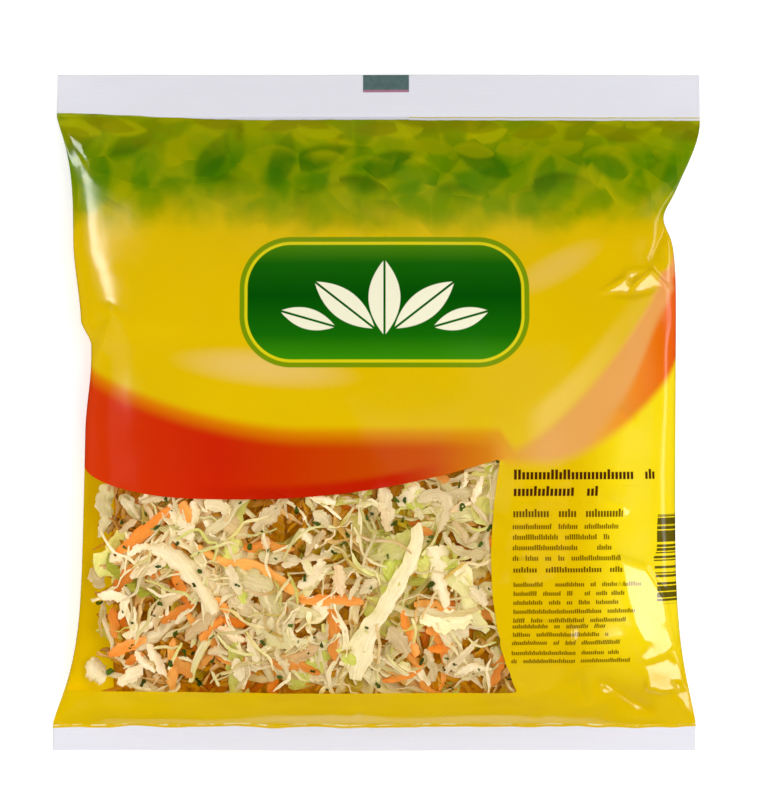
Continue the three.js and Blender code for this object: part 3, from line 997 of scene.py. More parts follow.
# Pieces that stand out in the window, as places in the photo with widths, all in pixels, lowest first.
# Each is (greenness, thickness in millimetres, [(x, y, width), ...]).
PHOTO_CABBAGE = [
    (0.35, 0.9, [(375, 570, 26), (395, 580, 30), (408, 592, 26)]),
    (0.55, 0.8, [(472, 572, 14), (486, 572, 15)]),
    (0.3, 0.9, [(227, 570, 22), (245, 580, 28), (272, 590, 22)]),
    (0.25, 0.8, [(224, 518, 16), (236, 528, 22), (244, 539, 14)]),
    (0.1, 0.9, [(195, 560, 12), (206, 578, 15), (214, 590, 12)]),
    (0.05, 0.9, [(106, 562, 14), (120, 558, 16)]),
    (0.1, 0.9, [(296, 664, 14), (318, 674, 22), (338, 682, 18)]),
    (0.2, 0.8, [(86, 662, 8), (86, 675, 22), (100, 686, 16)]),
    (0.1, 0.9, [(300, 530, 10), (318, 547, 9)]),
    (0.15, 0.8, [(442, 640, 20), (455, 634, 26), (470, 626, 18)]),
    (0.05, 0.8, [(383, 486, 13), (386, 508, 15), (389, 531, 10)]),
    (0.0, 0.9, [(112, 688, 8), (126, 682, 13), (140, 672, 10)]),
    (0.15, 0.8, [(204, 503, 12), (217, 505, 15), (231, 511, 9)]),
    (0.55, 0.7, [(350, 518, 20), (364, 526, 28), (380, 538, 24)]),
    (0.1, 0.8, [(445, 656, 18), (462, 666, 24), (486, 668, 14)]),
    (0.3, 0.7, [(105, 484, 18), (100, 503, 17), (104, 520, 12), (95, 539, 6)]),
    (0.0, 1.0, [(169, 504, 7), (180, 519, 18), (187, 532, 20), (190, 541, 10)]),
    (0.05, 1.0, [(222, 587, 16), (238, 600, 22), (253, 613, 18)]),
    (0.05, 0.9, [(192, 501, 8), (196, 514, 8), (193, 526, 6)]),
    (0.1, 0.9, [(228, 566, 10), (236, 584, 10), (240, 596, 7)]),
    (0.6, 0.7, [(366, 553, 15), (384, 550, 25), (402, 544, 22), (410, 530, 12)]),
    (0.0, 0.9, [(119, 495, 7), (128, 507, 11), (138, 519, 7)]),
    (0.0, 0.9, [(140, 502, 5), (155, 498, 8), (170, 498, 6)]),
    (0.0, 0.8, [(135, 520, 6), (126, 527, 7), (117, 534, 4)]),
    (0.0, 1.0, [(85, 570, 10), (92, 581, 17), (98, 591, 12)]),
    (0.05, 1.0, [(128, 578, 7), (144, 570, 16), (164, 561, 11)]),
    (0.0, 1.0, [(288, 499, 13), (270, 515, 17), (253, 531, 9)]),
    (0.0, 0.9, [(127, 557, 5), (136, 549, 8), (150, 546, 6)]),
    (0.0, 0.9, [(263, 536, 7), (269, 548, 10)]),
    (0.05, 0.8, [(282, 566, 8), (304, 558, 9), (326, 556, 7)]),
    (0.1, 0.9, [(314, 511, 9), (325, 520, 15), (333, 531, 9)]),
    (0.0, 0.9, [(324, 530, 7), (313, 545, 10), (305, 556, 5)]),
    (0.0, 0.9, [(313, 497, 6), (324, 500, 9), (336, 502, 5)]),
    (0.05, 0.9, [(359, 490, 9), (368, 500, 13)]),
    (0.0, 0.9, [(397, 503, 12), (409, 496, 17), (419, 488, 9)]),
    (0.0, 0.9, [(405, 482, 11), (417, 489, 12)]),
    (0.05, 0.9, [(452, 522, 8), (462, 531, 10), (466, 546, 7), (474, 538, 6), (481, 527, 5)]),
    (0.0, 0.9, [(417, 501, 7), (432, 494, 14), (446, 496, 12), (448, 511, 10), (441, 526, 7), (438, 534, 3)]),
    (0.0, 0.9, [(471, 586, 10), (479, 596, 16), (486, 606, 9)]),
    (0.0, 1.0, [(318, 564, 8), (322, 558, 9)]),
    (0.0, 1.1, [(298, 588, 9), (312, 578, 14), (325, 561, 11)]),
    (0.0, 0.9, [(338, 564, 11), (340, 584, 13), (342, 597, 5)]),
    (0.0, 0.9, [(359, 593, 7), (368, 586, 13), (376, 579, 8)]),
    (0.0, 0.8, [(349, 600, 4), (356, 584, 6), (362, 577, 5)]),
    (0.0, 1.0, [(94, 598, 7), (110, 597, 12), (123, 600, 11), (121, 612, 8), (116, 621, 7)]),
    (0.0, 1.0, [(120, 639, 8), (135, 632, 11), (150, 624, 9), (162, 616, 6)]),
    (0.05, 0.9, [(184, 594, 4), (170, 600, 9), (160, 606, 11), (155, 618, 9), (154, 634, 3)]),
    (0.0, 1.0, [(217, 629, 8), (232, 636, 11), (244, 641, 8)]),
    (0.1, 0.9, [(255, 619, 6), (251, 631, 8), (246, 643, 6)]),
    (0.0, 0.9, [(132, 654, 6), (140, 665, 9), (152, 676, 6)]),
    (0.1, 0.9, [(145, 646, 8), (154, 661, 12), (162, 680, 8)]),
    (0.0, 0.9, [(207, 656, 7), (217, 651, 10), (227, 656, 5)]),
    (0.0, 1.0, [(233, 660, 8), (238, 674, 13), (240, 684, 8)]),
    (0.0, 0.9, [(262, 656, 7), (268, 669, 9)]),
    (0.3, 0.8, [(258, 622, 22), (276, 633, 36), (290, 650, 24)]),
    (0.15, 0.9, [(276, 648, 13), (283, 664, 11), (288, 680, 6)]),
    (0.0, 1.0, [(248, 637, 8), (253, 655, 11), (258, 672, 9)]),
    (0.05, 0.9, [(281, 657, 9), (300, 655, 20), (319, 646, 12)]),
    (0.05, 1.0, [(388, 628, 14), (398, 640, 19), (408, 655, 14)]),
    (0.35, 0.8, [(420, 618, 12), (445, 622, 24), (472, 616, 18)]),
    (0.3, 0.9, [(417, 609, 5), (440, 614, 9), (462, 612, 9), (479, 609, 5)]),
    (0.1, 0.9, [(428, 546, 20), (437, 558, 32), (438, 574, 19), (441, 590, 14), (447, 607, 10)]),
    (0.0, 0.9, [(443, 532, 5), (450, 545, 7), (463, 552, 10), (477, 554, 12), (488, 552, 10)]),
    (0.0, 0.9, [(426, 650, 5), (432, 667, 9), (434, 684, 9)]),
    (0.05, 0.8, [(445, 674, 7), (458, 662, 8), (470, 650, 6), (479, 640, 3)]),
    (0.0, 0.8, [(455, 678, 7), (472, 668, 9), (492, 672, 4)]),
    (0.1, 1.1, [(146, 549, 8), (165, 552, 20), (181, 565, 22), (194, 581, 13), (205, 597, 13),
                (216, 613, 15)]),
    (0.05, 1.0, [(215, 609, 13), (203, 620, 17), (190, 634, 14), (183, 642, 6)]),
    (0.15, 1.6, [(418, 522, 14), (415, 548, 15), (406, 571, 17), (393, 592, 15), (380, 612, 15),
                 (368, 631, 21), (359, 655, 28), (355, 682, 22)]),
    (0.1, 0.8, [(482, 476, 4), (478, 490, 8), (472, 503, 7)]),
    (0.05, 0.8, [(473, 504, 4), (482, 515, 6), (491, 527, 3)]),
    (0.0, 0.8, [(464, 471, 5), (475, 468, 6), (485, 470, 4)]),
    (0.0, 0.8, [(450, 512, 5), (460, 505, 6), (471, 502, 4)]),
    (0.0, 1.3, [(316, 634, 8), (325, 638, 10)]),
]
PHOTO_THREADS = [
    [(176, 540), (190, 531), (200, 527), (208, 546), (219, 540), (216, 553), (213, 562)],
    [(190, 557), (205, 550), (220, 546), (228, 541), (237, 545)],
    [(217, 636), (226, 649), (240, 655), (254, 656)],
    [(360, 507), (365, 520), (371, 530), (379, 533)],
    [(274, 580), (281, 592), (280, 606)],
    [(288, 574), (296, 589), (298, 604)],
    [(274, 604), (281, 590), (291, 577)],
    [(301, 528), (291, 544), (283, 560)],
    [(376, 624), (380, 645), (378, 665)],
    [(166, 673), (172, 660), (180, 645)],
    [(444, 579), (455, 570), (465, 562)],
    [(412, 618), (416, 630), (414, 643)],
    [(340, 526), (349, 514), (354, 507)],
    [(210, 674), (217, 690)],
    [(100, 612), (96, 625), (98, 640)],
    [(386, 656), (397, 668), (407, 676)],
]
PHOTO_CARROT = [
    [(112, 558, 9), (135, 539, 13), (155, 523, 13), (172, 508, 10)],
    [(181, 502, 10), (191, 522, 11)],
    [(112, 593, 10), (123, 580, 15), (132, 567, 10)],
    [(108, 610, 9), (111, 625, 10), (111, 641, 8)],
    [(105, 659, 9), (122, 650, 12), (144, 641, 9)],
    [(122, 668, 7), (132, 661, 9), (140, 656, 7)],
    [(157, 623, 9), (175, 615, 11), (193, 605, 8)],
    [(214, 599, 9), (228, 613, 8)],
    [(222, 620, 9), (246, 626, 9)],
    [(198, 641, 8), (222, 619, 9)],
    [(171, 663, 9), (182, 671, 15), (191, 680, 9)],
    [(299, 601, 8), (320, 600, 11), (345, 600, 11), (364, 602, 8)],
    [(331, 609, 10), (333, 630, 14), (333, 650, 11), (334, 662, 5)],
    [(402, 611, 7), (408, 632, 10), (417, 658, 9)],
    [(382, 684, 5), (400, 681, 8), (413, 675, 9), (424, 666, 7)],
    [(426, 631, 8), (436, 632, 10), (444, 628, 7)],
    [(428, 651, 8), (442, 650, 8), (453, 645, 6)],
    [(504, 657, 9), (498, 672, 11), (494, 690, 9)],
    [(420, 528, 7), (432, 534, 8)],
    [(436, 473, 8), (448, 482, 9)],
]
PHOTO_HERB = [
    (119, 523), (156, 527), (250, 547), (159, 605), (174, 636), (182, 656), (191, 656), (211, 662),
    (168, 666), (139, 688), (196, 686), (105, 677), (279, 680), (262, 644), (211, 638), (317, 523),
    (347, 535), (343, 544), (334, 552), (368, 518), (396, 500), (405, 500), (394, 523), (403, 520),
    (388, 556), (459, 484), (497, 461), (480, 544), (462, 507), (490, 528), (297, 510), (431, 585),
    (322, 645), (96, 606), (422, 664), (378, 688), (431, 537), (305, 578), (254, 498), (166, 499),
]


def carrot_share(x, y):
    """Carrot gathers at the window's lower left and is rare along its top."""
    if x < -20 and y < -50:
        return 1.6 * CARROT_SHARE
    return 0.5 * CARROT_SHARE if y > -60 else CARROT_SHARE


def chance_piece(x, y, depth, piles):
    """A strip of one kind, by chance, at this place. Depth runs from 1 at the bottom to 0 at the top."""
    cabbage, leaves, carrot = piles
    length = float(np.clip(draw.lognormal(2.95, 0.4), 9, 42))
    kind = draw.uniform()
    # pieces deeper in the heap get more painted shade: a darker golden colour standing in for the warm shade
    # between the shreds
    depth_shade = mix(-0.5, 1.35, depth)
    carrots = carrot_share(x, y)
    if kind < carrots:
        strip = Strip(random_path(x, y, length, draw.normal(0, 0.15)), [2.2, 3.8, 3.4, 3.0, 2.0],
                      2.2, roll=draw.normal(0, 0.4), cup=-0.1, taper=0.4)
        return carrot, strip, random_tone(0.5, depth_shade)
    green_place = bell((x - 12) / 22) * bell((y + 48) / 28)
    if kind < carrots + LEAF_SHARE * (0.5 + 2.5 * green_place):
        width = draw.uniform(6, 11)
        strip = Strip(random_path(x, y, 0.8 * length, draw.normal(0, 0.2)), [width] * 5, 0.6,
                      roll=draw.normal(0, 0.4), twist=draw.normal(0, 0.8), cup=draw.uniform(-0.6, 0.6),
                      ruffle=draw.uniform(0.5, 1.4), taper=0.6, heave=1.0)
        return leaves, strip, random_tone(0.55, depth_shade)
    width = draw.choice(SHRED_WIDTHS)
    strip = Strip(random_path(x, y, length, draw.normal(0, 0.3)), width * draw.uniform(0.6, 1.2, 5),
                  draw.uniform(0.5, 1.1), roll=draw.normal(0, 0.7), twist=draw.normal(0, 1.8),
                  cup=draw.uniform(-0.9, 0.9), ruffle=draw.uniform(0.2, 1.0), taper=0.5, heave=1.6)
    return cabbage, strip, random_tone(0.22 + 0.35 * green_place, depth_shade)


def fill_heap():
    """Drops chance pieces on the core, then lays the ones the photo shows on top."""
    heap = Heap()
    cabbage, leaves = Pile("cabbage_shreds", 10, 2), Pile("green_leaf_pieces", 10, 3)
    shown, threads = Pile("cabbage_pieces", 34, 6), Pile("fine_threads", 20, 2)
    carrot, herb = Pile("carrot_strips", 12, 2), Pile("herb_flecks", 7, 2)
    for step in range(FILLERS):
        x = draw.uniform(CORE_LEFT + 2, HEAP_HIGH[0] - 4)
        y = draw.uniform(CONTENTS_LOW[1] + 2, HEAP_HIGH[1] - 4)
        pile, strip, tone = chance_piece(x, y, 1 - step / FILLERS, (cabbage, leaves, carrot))
        strip.rest_on(heap, mix(*FILLER_ROOM, step / FILLERS))
        pile.add(strip, heap, tone)
    lay_shown_pieces(heap, shown, threads, carrot)
    scatter_herbs(heap, herb)
    return heap, cabbage, leaves, shown, threads, carrot, herb


def shown_strip(nodes, thickness, **form):
    path = [from_photo(x, y, SHOWN_LEVEL) for x, y, *_ in nodes]
    widths = [w * MM_PER_PIXEL * 0.98 for *_, w in nodes]
    return Strip(path, widths, thickness, **form)


def lay_shown_pieces(heap, shown, threads, carrot):
    for nodes in PHOTO_CARROT:
        strip = shown_strip(nodes, 2.3, roll=draw.normal(0, 0.12), cup=-0.1, taper=0.35)
        strip.rest_on(heap, 1.6, slope=0.12)
        carrot.add(strip, heap, random_tone(0.5))
    for step, (green, thickness, nodes) in enumerate(PHOTO_CABBAGE):
        wide = max(w for *_, w in nodes) > 17
        strip = shown_strip(nodes, thickness, roll=draw.normal(0, 0.15 if wide else 0.4),
                            twist=draw.normal(0, 0.6 if wide else 1.2), cup=draw.uniform(-0.8, 0.3),
                            ruffle=draw.uniform(0.7, 1.3) if wide else draw.uniform(0.2, 0.7),
                            taper=0.45, heave=1.2)
        strip.rest_on(heap, mix(1.8, 0.1, step / len(PHOTO_CABBAGE)))
        shown.add(strip, heap, random_tone(green, 0.08, 0.04))
    for _ in range(LOOSE_THREADS):
        x, y = draw.uniform(CORE_LEFT, 48), draw.uniform(CONTENTS_LOW[1] + 3, -32)
        strip = Strip(random_path(x, y, draw.uniform(7, 19), draw.normal(0, 0.5)), [0.8, 1.1, 0.9, 1.0, 0.6],
                      0.7, roll=draw.normal(0, 0.5), twist=draw.normal(0, 2.0), taper=0.5)
        strip.rest_on(heap, 0.3)
        threads.add(strip, heap, random_tone(draw.uniform(0, 0.6), 0.1))
    for nodes in PHOTO_THREADS:
        strip = shown_strip([(x, y, 3.0) for x, y in nodes], 0.9, roll=0.3, twist=2.0, taper=0.5)
        strip.rest_on(heap, 0.0)
        threads.add(strip, heap, random_tone(0.6, 0.1))


def scatter_herbs(heap, herb):
    places = [from_photo(x, y, SHOWN_LEVEL) for x, y in PHOTO_HERB]
    places += [(draw.uniform(CORE_LEFT, 52), draw.uniform(-96, -26)) for _ in range(LOOSE_HERBS)]
    for step, (x, y) in enumerate(places):
        length = draw.uniform(1.6, 3.0) if step < len(PHOTO_HERB) else draw.uniform(0.7, 1.8)
        strip = Strip(random_path(x, y, length, 0.3), length * draw.uniform(0.1, 0.8, 5), 0.25,
                      roll=draw.normal(0, 0.35), cup=draw.uniform(-0.5, 0.5), taper=0.4)
        strip.rest_on(heap, -0.2, sink=-0.1, slope=1.5)
        herb.add(strip, heap, random_tone(0.4, 0.3, 0.3))


heap, cabbage, leaves, shown, threads, carrot, herb = fill_heap()


# ---------------------------------------------------------------- the film, tight over the contents
FACE_COLUMNS = 260
BACK_COLUMNS = 130
BODY_ROWS = 236
PRINT_MIDDLE = 1.5                   # x of the print's middle line
PRESS_LIMITS = (-1.6, 2.4)           # how far the contents let the film sink and push it up
PEAK_REACH = 2.5                     # the film rests on the highest piece within this distance
FILM_BEND = 4.5                      # distance over which the film bends
FILM_GAP = 0.35                      # from the pieces to the film


def neighbours(values, reach, axis):
    """For each cell of a map, the run of cells within this distance along one axis."""
    half = int(reach / CELL)
    padded = np.pad(values, [(half, half) if k == axis else (0, 0) for k in (0, 1)], mode="edge")
    return np.lib.stride_tricks.sliding_window_view(padded, 2 * half + 1, axis=axis)


def smooth_map(values, reach):
    for axis in (0, 1):
        runs = neighbours(values, reach, axis)
        weights = np.exp(-np.linspace(-2, 2, runs.shape[-1]) ** 2)
        values = runs @ (weights / weights.sum())
    return values


def highest_near(values, reach):
    for axis in (0, 1):
        values = neighbours(values, reach, axis).max(-1)
    return values


def press_map():
    """How far the film stands above or below its smooth height where the contents press on it."""
    rest = smooth_map(highest_near(heap.top, PEAK_REACH), FILM_BEND) + FILM_GAP
    press = np.clip(rest - heap.cover, *PRESS_LIMITS)
    border = np.minimum.reduce([heap.x - CORE_LEFT, HEAP_HIGH[0] - heap.x,
                                heap.y - HEAP_LOW[1] - 8, HEAP_HIGH[1] - 10 - heap.y])
    return press * ease(border / 12)


def pressed(x, y, press):
    """The press map read between its cells."""
    column = np.clip((x - HEAP_LOW[0]) / CELL, 0, press.shape[1] - 1.001)
    row = np.clip((y - HEAP_LOW[1]) / CELL, 0, press.shape[0] - 1.001)
    i, j = row.astype(int), column.astype(int)
    a, b = row - i, column - j
    near = mix(press[i, j], press[i, j + 1], b)
    far = mix(press[i + 1, j], press[i + 1, j + 1], b)
    inside = (x > HEAP_LOW[0]) & (x < HEAP_HIGH[0]) & (y > HEAP_LOW[1]) & (y < HEAP_HIGH[1])
    return np.where(inside, mix(near, far, a), 0.0)


def film_height(turn, y, press):
    x, z = film_point(turn, y)
    return x, z + np.where(np.abs(turn) < 1, pressed(x, y, press), 0.0)


def film_meshes():
    """The film's points, split along the window's outline: printed faces and clear faces."""
    press = press_map()
    columns = FACE_COLUMNS + BACK_COLUMNS
    points, faces = grid(columns, BODY_ROWS)
    across = points[:, 0] * columns / 2
    half_face = FACE_COLUMNS / 2
    beyond = np.maximum(0, np.abs(across) - half_face)
    turn = np.sign(across) * (np.minimum(np.abs(across), half_face) / half_face
                              + beyond / (BACK_COLUMNS / 2))
    y = mix(BOTTOM_OF_BODY, TOP_OF_BODY, (points[:, 1] + 1) / 2)
    x, z = film_height(turn, y, press)
    width = columns + 1
    run = np.hypot(np.diff(x.reshape(-1, width)), np.diff(z.reshape(-1, width)))
    length = np.concatenate([np.zeros((len(run), 1)), np.cumsum(run, 1)], 1)
    face = slice(BACK_COLUMNS // 2, BACK_COLUMNS // 2 + FACE_COLUMNS + 1)
    middle = [np.interp(PRINT_MIDDLE, *rows) for rows in zip(x.reshape(-1, width)[:, face], length[:, face])]
    u = (length - np.array(middle)[:, None]).ravel()
    turn, y, u, inside = snap_to_outline(turn, y, u, width)
    x, z = film_height(turn, y, press)
    printed, clear = split_by_outline(faces, inside)
    return np.stack([x, y, z], 1), np.stack([u, y], 1), printed, clear


def snap_to_outline(turn, y, u, width):
    """Moves the grid points next to the window's outline on to it, so that the hole has a clean edge."""
    inside = inside_window(u, y)
    best = np.full(len(u), 0.5)
    moved = [turn.copy(), y.copy(), u.copy()]
    numbers = np.arange(len(u)).reshape(-1, width)
    pairs = [(numbers[:, :-1], numbers[:, 1:]), (numbers[:-1], numbers[1:])]
    for first, second in pairs:
        for a, b in ((first.ravel(), second.ravel()), (second.ravel(), first.ravel())):
            crossing = inside[a] * inside[b] < 0
            a, b = a[crossing], b[crossing]
            share = inside[a] / (inside[a] - inside[b])
            near = share < best[a]
            a, b, share = a[near], b[near], share[near]
            best[a] = share
            for values, source in zip(moved, (turn, y, u)):
                values[a] = source[a] + share * (source[b] - source[a])
    inside[best < 0.5] = 0
    return (*moved, inside)


def split_by_outline(faces, inside):
    """Shares the faces out. One that still crosses the outline is cut from corner to corner."""
    side = np.sign(inside)[faces]
    printed = [tuple(f) for f in faces[(side <= 0).all(1)]]
    clear = [tuple(f) for f in faces[(side >= 0).all(1) & (side > 0).any(1)]]
    for face, signs in zip(faces, side):
        if not ((signs > 0).any() and (signs < 0).any()):
            continue
        start = 0 if signs[0] == 0 or signs[2] == 0 else 1
        a, b, c, d = np.roll(face, -start)
        for triangle in ((a, b, c), (a, c, d)):
            total = sum(np.sign(inside[k]) for k in triangle)
            (clear if total > 0 else printed).append(triangle)
    return printed, clear


def only_used(points, uv, faces):
    used, numbers = np.unique(np.concatenate([np.ravel(f) for f in faces]), return_inverse=True)
    ends = np.cumsum([len(f) for f in faces])[:-1]
    return points[used], uv[used], np.split(numbers, ends)


film_points, film_uv, printed_faces, clear_faces = film_meshes()
points, uv, faces = only_used(film_points, film_uv, printed_faces)
printed_film = mesh_object("printed_film", points, faces, uv)
looks = [("film_leaves", [CURVE, LEAVES, BADGE, TOP_END]), ("film_yellow", [CURVE, BADGE, BOTTOM_END]),
         ("film_small_print", [CURVE, SMALL_PRINT, BARS, BOTTOM_END])]
for name, effects in looks:
    printed_film.data.materials.append(printed_film_material(name, effects))
middles = np.array([uv[f].mean(0) for f in faces])
which = np.where(middles[:, 1] > LEAVES_FROM, 0, 1)
which[(middles[:, 0] > SMALL_PRINT_FROM) & (middles[:, 1] < SMALL_PRINT_TO)] = 2
printed_film.data.polygons.foreach_set("material_index", which.astype(np.int32))
place(printed_film, "printed_film")


def clear_film_material():
    material, n, shader = new_material("clear_film")
    n.tree.nodes.remove(shader)
    relief, = n.group(RELIEF, ["Height"], Film=n.film_place())
    normal = n.bump(relief, 0.5, 0.5)
    mirrored = n.make("Fresnel", {"IOR": FILM_IOR, "Normal": normal})
    to_lamp, = n.make("LightPath", {}, "Is Shadow Ray")
    clear = n.make("BsdfTransparent", {"Color": (1.0, 0.995, 0.985, 1)})
    gloss = n.make("BsdfGlossy", {"Roughness": 0.12, "Normal": normal})
    both = n.make("MixShader", {0: mirrored * (1.0 - to_lamp), 1: clear, 2: gloss})
    n.fill(n.tree.nodes["Material Output"], {"Surface": both})
    return material


points, uv, faces = only_used(film_points, film_uv, clear_faces)
place(mesh_object("clear_window", points, faces, uv, clear_film_material()), "clear_film")


# ---------------------------------------------------------------- what the contents are made of
def fresh_cut_material(name, pale, deep, depth_shade, moist, glow, fibre, veins=0.0):
    """Moist cut vegetable: pale to deep by each piece's tone, fibres along it, a painted golden shade on
    pieces deep in the heap, and a painted glow on the others for light passing through.
    """
    material, n, shader = new_material(name)
    tone, = n.make("Attribute", {}, "Color", attribute_name="tone")
    green, painted_depth_shade, light = n.make("SeparateColor", {0: tone}, 0, 1, 2)
    strip = n.film_place()
    fibres = n.noise(n.make("Mapping", {0: strip, "Scale": (0.12, 1, 1)}), fibre, 3.0, 0.6)
    patches = n.noise(strip, 6, 2.0, 0.5)
    colour = n.blend(n.rise(green + (patches - 0.5) * 0.6, 0.0, 1.0), ink(*pale), ink(*deep))
    # painted shade: blends towards the darker golden colour by each piece's depth shade
    colour = n.blend(n.rise(painted_depth_shade, 0.0, 0.75), colour, ink(*depth_shade))
    x, y, _ = n.parts(strip)
    aside = abs(y + (patches - 0.5) * 1.2)
    side_vein = n.fall(abs(n.maths("FRACT", (x - aside * 1.3) * 0.3) - 0.5), 0.02, 0.09)
    vein = n.highest(n.fall(aside, 0.25, 0.6), side_vein * 0.6) * veins
    colour = n.blend(vein, colour, ink(*pale))
    shade = positive(light * 0.36 + (fibres - 0.5) * 0.42 + 0.46)
    colour = n.tint(colour, n.point(shade ** 0.85, shade, shade ** 1.4))
    painted_glow_colour = n.tint(colour, (1.0, 0.74, 0.16, 1))
    # painted glow: pieces with little depth shade emit a golden share of their colour, standing in for light
    # passing through them
    n.fill(shader, {
        "Base Color": colour, "Roughness": moist, "Specular IOR Level": 0.4,
        "Emission Color": n.blend(n.rise(painted_depth_shade, 0.0, 1.0), painted_glow_colour, (0, 0, 0, 1)),
        "Emission Strength": glow, "Normal": n.bump(fibres + vein * 0.5, 0.3, 0.7)})
    return material


white_leaf = fresh_cut_material("white_cabbage", (255, 247, 228), (218, 226, 124), (226, 158, 4),
                                0.3, 0.2, 0.8, veins=0.35)
green_leaf = fresh_cut_material("green_cabbage", (252, 250, 176), (188, 206, 72), (200, 164, 2),
                                0.28, 0.22, 0.9, veins=0.7)
orange_root = fresh_cut_material("carrot", (253, 194, 116), (248, 150, 60), (232, 126, 20), 0.3, 0.28, 0.5)
dark_leaf = fresh_cut_material("herb", (84, 118, 30), (34, 64, 12), (66, 78, 12), 0.4, 0.0, 0.4)
cabbage.build(white_leaf, "cabbage")
leaves.build(green_leaf, "cabbage_green")
shown.build(white_leaf, "cabbage")
threads.build(white_leaf, "cabbage")
carrot.build(orange_root, "carrot")
herb.build(dark_leaf, "herb")


def packed_core():
    """The mix below the pieces that show: a lumpy body in the film's own form, without the left gap, coloured
    with painted shade.
    """
    points, faces = grid(150, 120)
    y = mix(BOTTOM_OF_BODY + 5, TOP_OF_BODY - 12, (points[:, 1] + 1) / 2)
    turn = 2 * points[:, 0]
    x, z = film_point(turn, y)
    arch = np.abs(np.cos(turn * math.pi / 2))
    x = np.maximum(x * 0.965, CORE_LEFT - 3 + 6 * (1 - arch))
    floor = film_point(2 - np.abs(turn_at(x, y)), y)[1] + 1.4
    top = np.maximum(floor + 1.5 * arch, z - CORE_DEPTH + core_lumps(x, y) - 4 * (1 - ease(arch / 0.5)))
    z = np.where(np.abs(turn) <= 1, top, floor)
    return mesh_object("packed_core", np.stack([x, y, z], 1), faces, material=packed_shade_material())


# painted shade: browns of shreds in shadow, along the strands' noise
PACKED_SHADE_BROWNS = [(0.3, 108, 58, 0), (0.5, 166, 104, 0), (0.7, 206, 150, 6)]


def packed_shade_material():
    material, n, shader = new_material("packed_mix")
    inside, = n.make("TexCoord", {}, "Object")
    grain = n.make("Mapping", {0: inside, "Scale": (1 / MM, 1 / MM, 1 / MM)})
    strands = n.noise(grain, 3.2, 3.0, 0.6)
    patches = n.rise(n.noise(grain, 7.0, 2.0, 0.5), 0.5, 0.62)
    colour = n.blend(patches, n.ramp(strands, PACKED_SHADE_BROWNS), ink(170, 96, 4))
    # painted glow: the core emits its own colour, standing in for light bounced among the shreds
    n.fill(shader, {"Base Color": colour, "Emission Color": colour, "Emission Strength": 0.3,
                    "Roughness": 0.5, "Normal": n.bump(strands, 1.0)})
    return material


place(packed_core(), "packed_mix")


# ---------------------------------------------------------------- the end seals and the back seam
SEAL_COLUMNS = 300
SEAL_ROW = 0.25
SEAL_THICKNESS = 0.5
SEAL_OVERLAP = 0.4                   # how far a seal runs on over the film's body
CRIMP_PITCH = 1.25
CRIMP_HEIGHT = 0.022
SEAM_WIDTH = 11.0
SEAM_THICKNESS = 0.3
SEAM_BELOW = 0.22                    # from the back of the film to the middle of the folded seam


def film_band(name, x, y, z, faces, thickness, material):
    """A piece of film with its own thickness, printed by its place on the bag."""
    piece = mesh_object(name, np.stack([x, y, z], 1), faces, np.stack([x, y], 1), material)
    wall = piece.modifiers.new("thickness", "SOLIDIFY")
    wall.thickness = thickness * MM
    wall.offset = 0
    return place(piece, "seal_film")


def end_seal(name, low, high, effects):
    """A flat band of two films pressed together between ribbed bars."""
    points, faces = grid(SEAL_COLUMNS, int((high - low) / SEAL_ROW))
    y = mix(low, high, (points[:, 1] + 1) / 2)
    x = mix(left_edge(y), right_edge(y), (points[:, 0] + 1) / 2)
    rib = CRIMP_HEIGHT * np.sin(math.tau * y / CRIMP_PITCH)
    waves = 0.25 * ripples(x, y * 0.4, 24, 21)
    z = seal_level(x, y) + rib + waves * ease(np.minimum(y - low, high - y) / 5)
    material = printed_film_material(name, effects, roughness=0.32, relief=0.15)
    film_band(name, x, y, z, faces, SEAL_THICKNESS, material)


def back_seam():
    """The film's lengthwise seam, folded flat against the back."""
    points, faces = grid(8, 260)
    y = mix(BOTTOM_OF_BODY, TOP_OF_BODY, (points[:, 1] + 1) / 2)
    x = (left_edge(y) + right_edge(y)) / 2 + points[:, 0] * SEAM_WIDTH / 2
    turn = turn_at(x, y)
    z = film_point(np.where(turn < 0, -2, 2) - turn, y)[1] - SEAM_BELOW
    material = printed_film_material("film_seam", [TOP_END, BOTTOM_END])
    film_band("back_seam", x, y, z, faces, SEAM_THICKNESS, material)


end_seal("top_seal", TOP_OF_BODY - SEAL_OVERLAP, TOP_OF_BAG, [LEAVES, TOP_END])
end_seal("bottom_seal", BOTTOM_OF_BAG, BOTTOM_OF_BODY + SEAL_OVERLAP, [BOTTOM_END])
back_seam()


# ---------------------------------------------------------------- studio
SENSOR = 36.0
# name, direction in degrees, tilt away from straight above, distance, size and power;
# a fill lights the bag but isn't mirrored in the film, a glint only shows as a highlight
FILLS = [
    ("left_fill", 180, 56, 0.9, (0.25, 0.8), 5.0),
    ("right_fill", 0, 54, 0.9, (0.3, 0.9), 4.8),
    ("ceiling_fill", 0, 10, 1.0, (0.4, 0.4), 3.7),
    ("top_fill", 90, 45, 1.1, (0.5, 0.6), 1.6),
    ("bottom_fill", -90, 70, 1.1, (0.4, 0.9), 4.4),
]
GLINTS = [
    ("left_glint", 150, 52, 0.9, (0.09, 0.34), 1.5),
    ("right_glint", 0, 84, 0.9, (0.12, 1.1), 1.4),
    ("corner_glint", -30, 60, 0.9, (0.18, 0.18), 1.0),
]


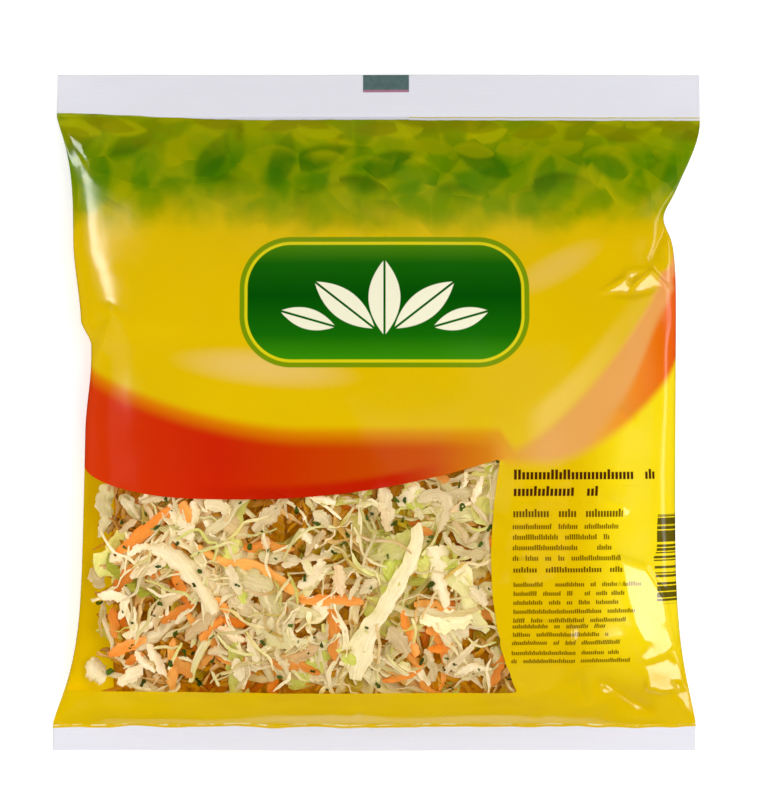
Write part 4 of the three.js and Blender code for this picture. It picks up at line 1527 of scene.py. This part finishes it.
def add_to_scene(name, data):
    made = bpy.data.objects.new(name, data)
    bpy.context.scene.collection.objects.link(made)
    return made


def add_camera():
    data = bpy.data.cameras.new("camera")
    data.sensor_width = SENSOR
    data.lens = SENSOR * (CAMERA_HEIGHT - SEAL_LEVEL) / (PHOTO_HEIGHT * MM_PER_PIXEL)
    data.clip_start, data.clip_end = 0.05, 20
    camera = add_to_scene("camera", data)
    camera.location = (PHOTO_CENTRE[0] * MM, PHOTO_CENTRE[1] * MM, CAMERA_HEIGHT * MM)
    bpy.context.scene.camera = camera


def add_softbox(name, direction, tilt, distance, size, power):
    """A rectangular lamp aimed at the bag."""
    data = bpy.data.lights.new(name, "AREA")
    data.shape = "RECTANGLE"
    data.size, data.size_y = size
    data.energy = power
    lamp = add_to_scene(name, data)
    a, t = math.radians(direction), math.radians(tilt)
    lamp.location = (distance * math.cos(a) * math.sin(t), distance * math.sin(a) * math.sin(t),
                     distance * math.cos(t))
    lamp.rotation_euler = (0, t, a)
    return lamp


def add_floor():
    bm = bmesh.new()
    bmesh.ops.create_grid(bm, x_segments=1, y_segments=1, size=3)
    mesh = bpy.data.meshes.new("floor")
    bm.to_mesh(mesh)
    bm.free()
    floor = add_to_scene("floor", mesh)
    paint, n, shader = new_material("floor_paint")
    n.fill(shader, {"Base Color": (0.85, 0.85, 0.86, 1), "Roughness": 0.9, "Specular IOR Level": 0.1,
                    "Emission Color": (1, 1, 1, 1), "Emission Strength": 0.35})
    mesh.materials.append(paint)
    floor.visible_glossy = False


def add_world():
    world = bpy.data.worlds.new("studio")
    world.use_nodes = True
    background = world.node_tree.nodes["Background"]
    background.inputs["Color"].default_value = (1, 1, 1, 1)
    background.inputs["Strength"].default_value = 0.08
    world.cycles_visibility.glossy = False
    bpy.context.scene.world = world


add_camera()
add_world()
add_floor()
for form in FILLS:
    add_softbox(*form).visible_glossy = False
for form in GLINTS:
    add_softbox(*form).visible_diffuse = False
bpy.context.scene.view_settings.view_transform = "Standard"
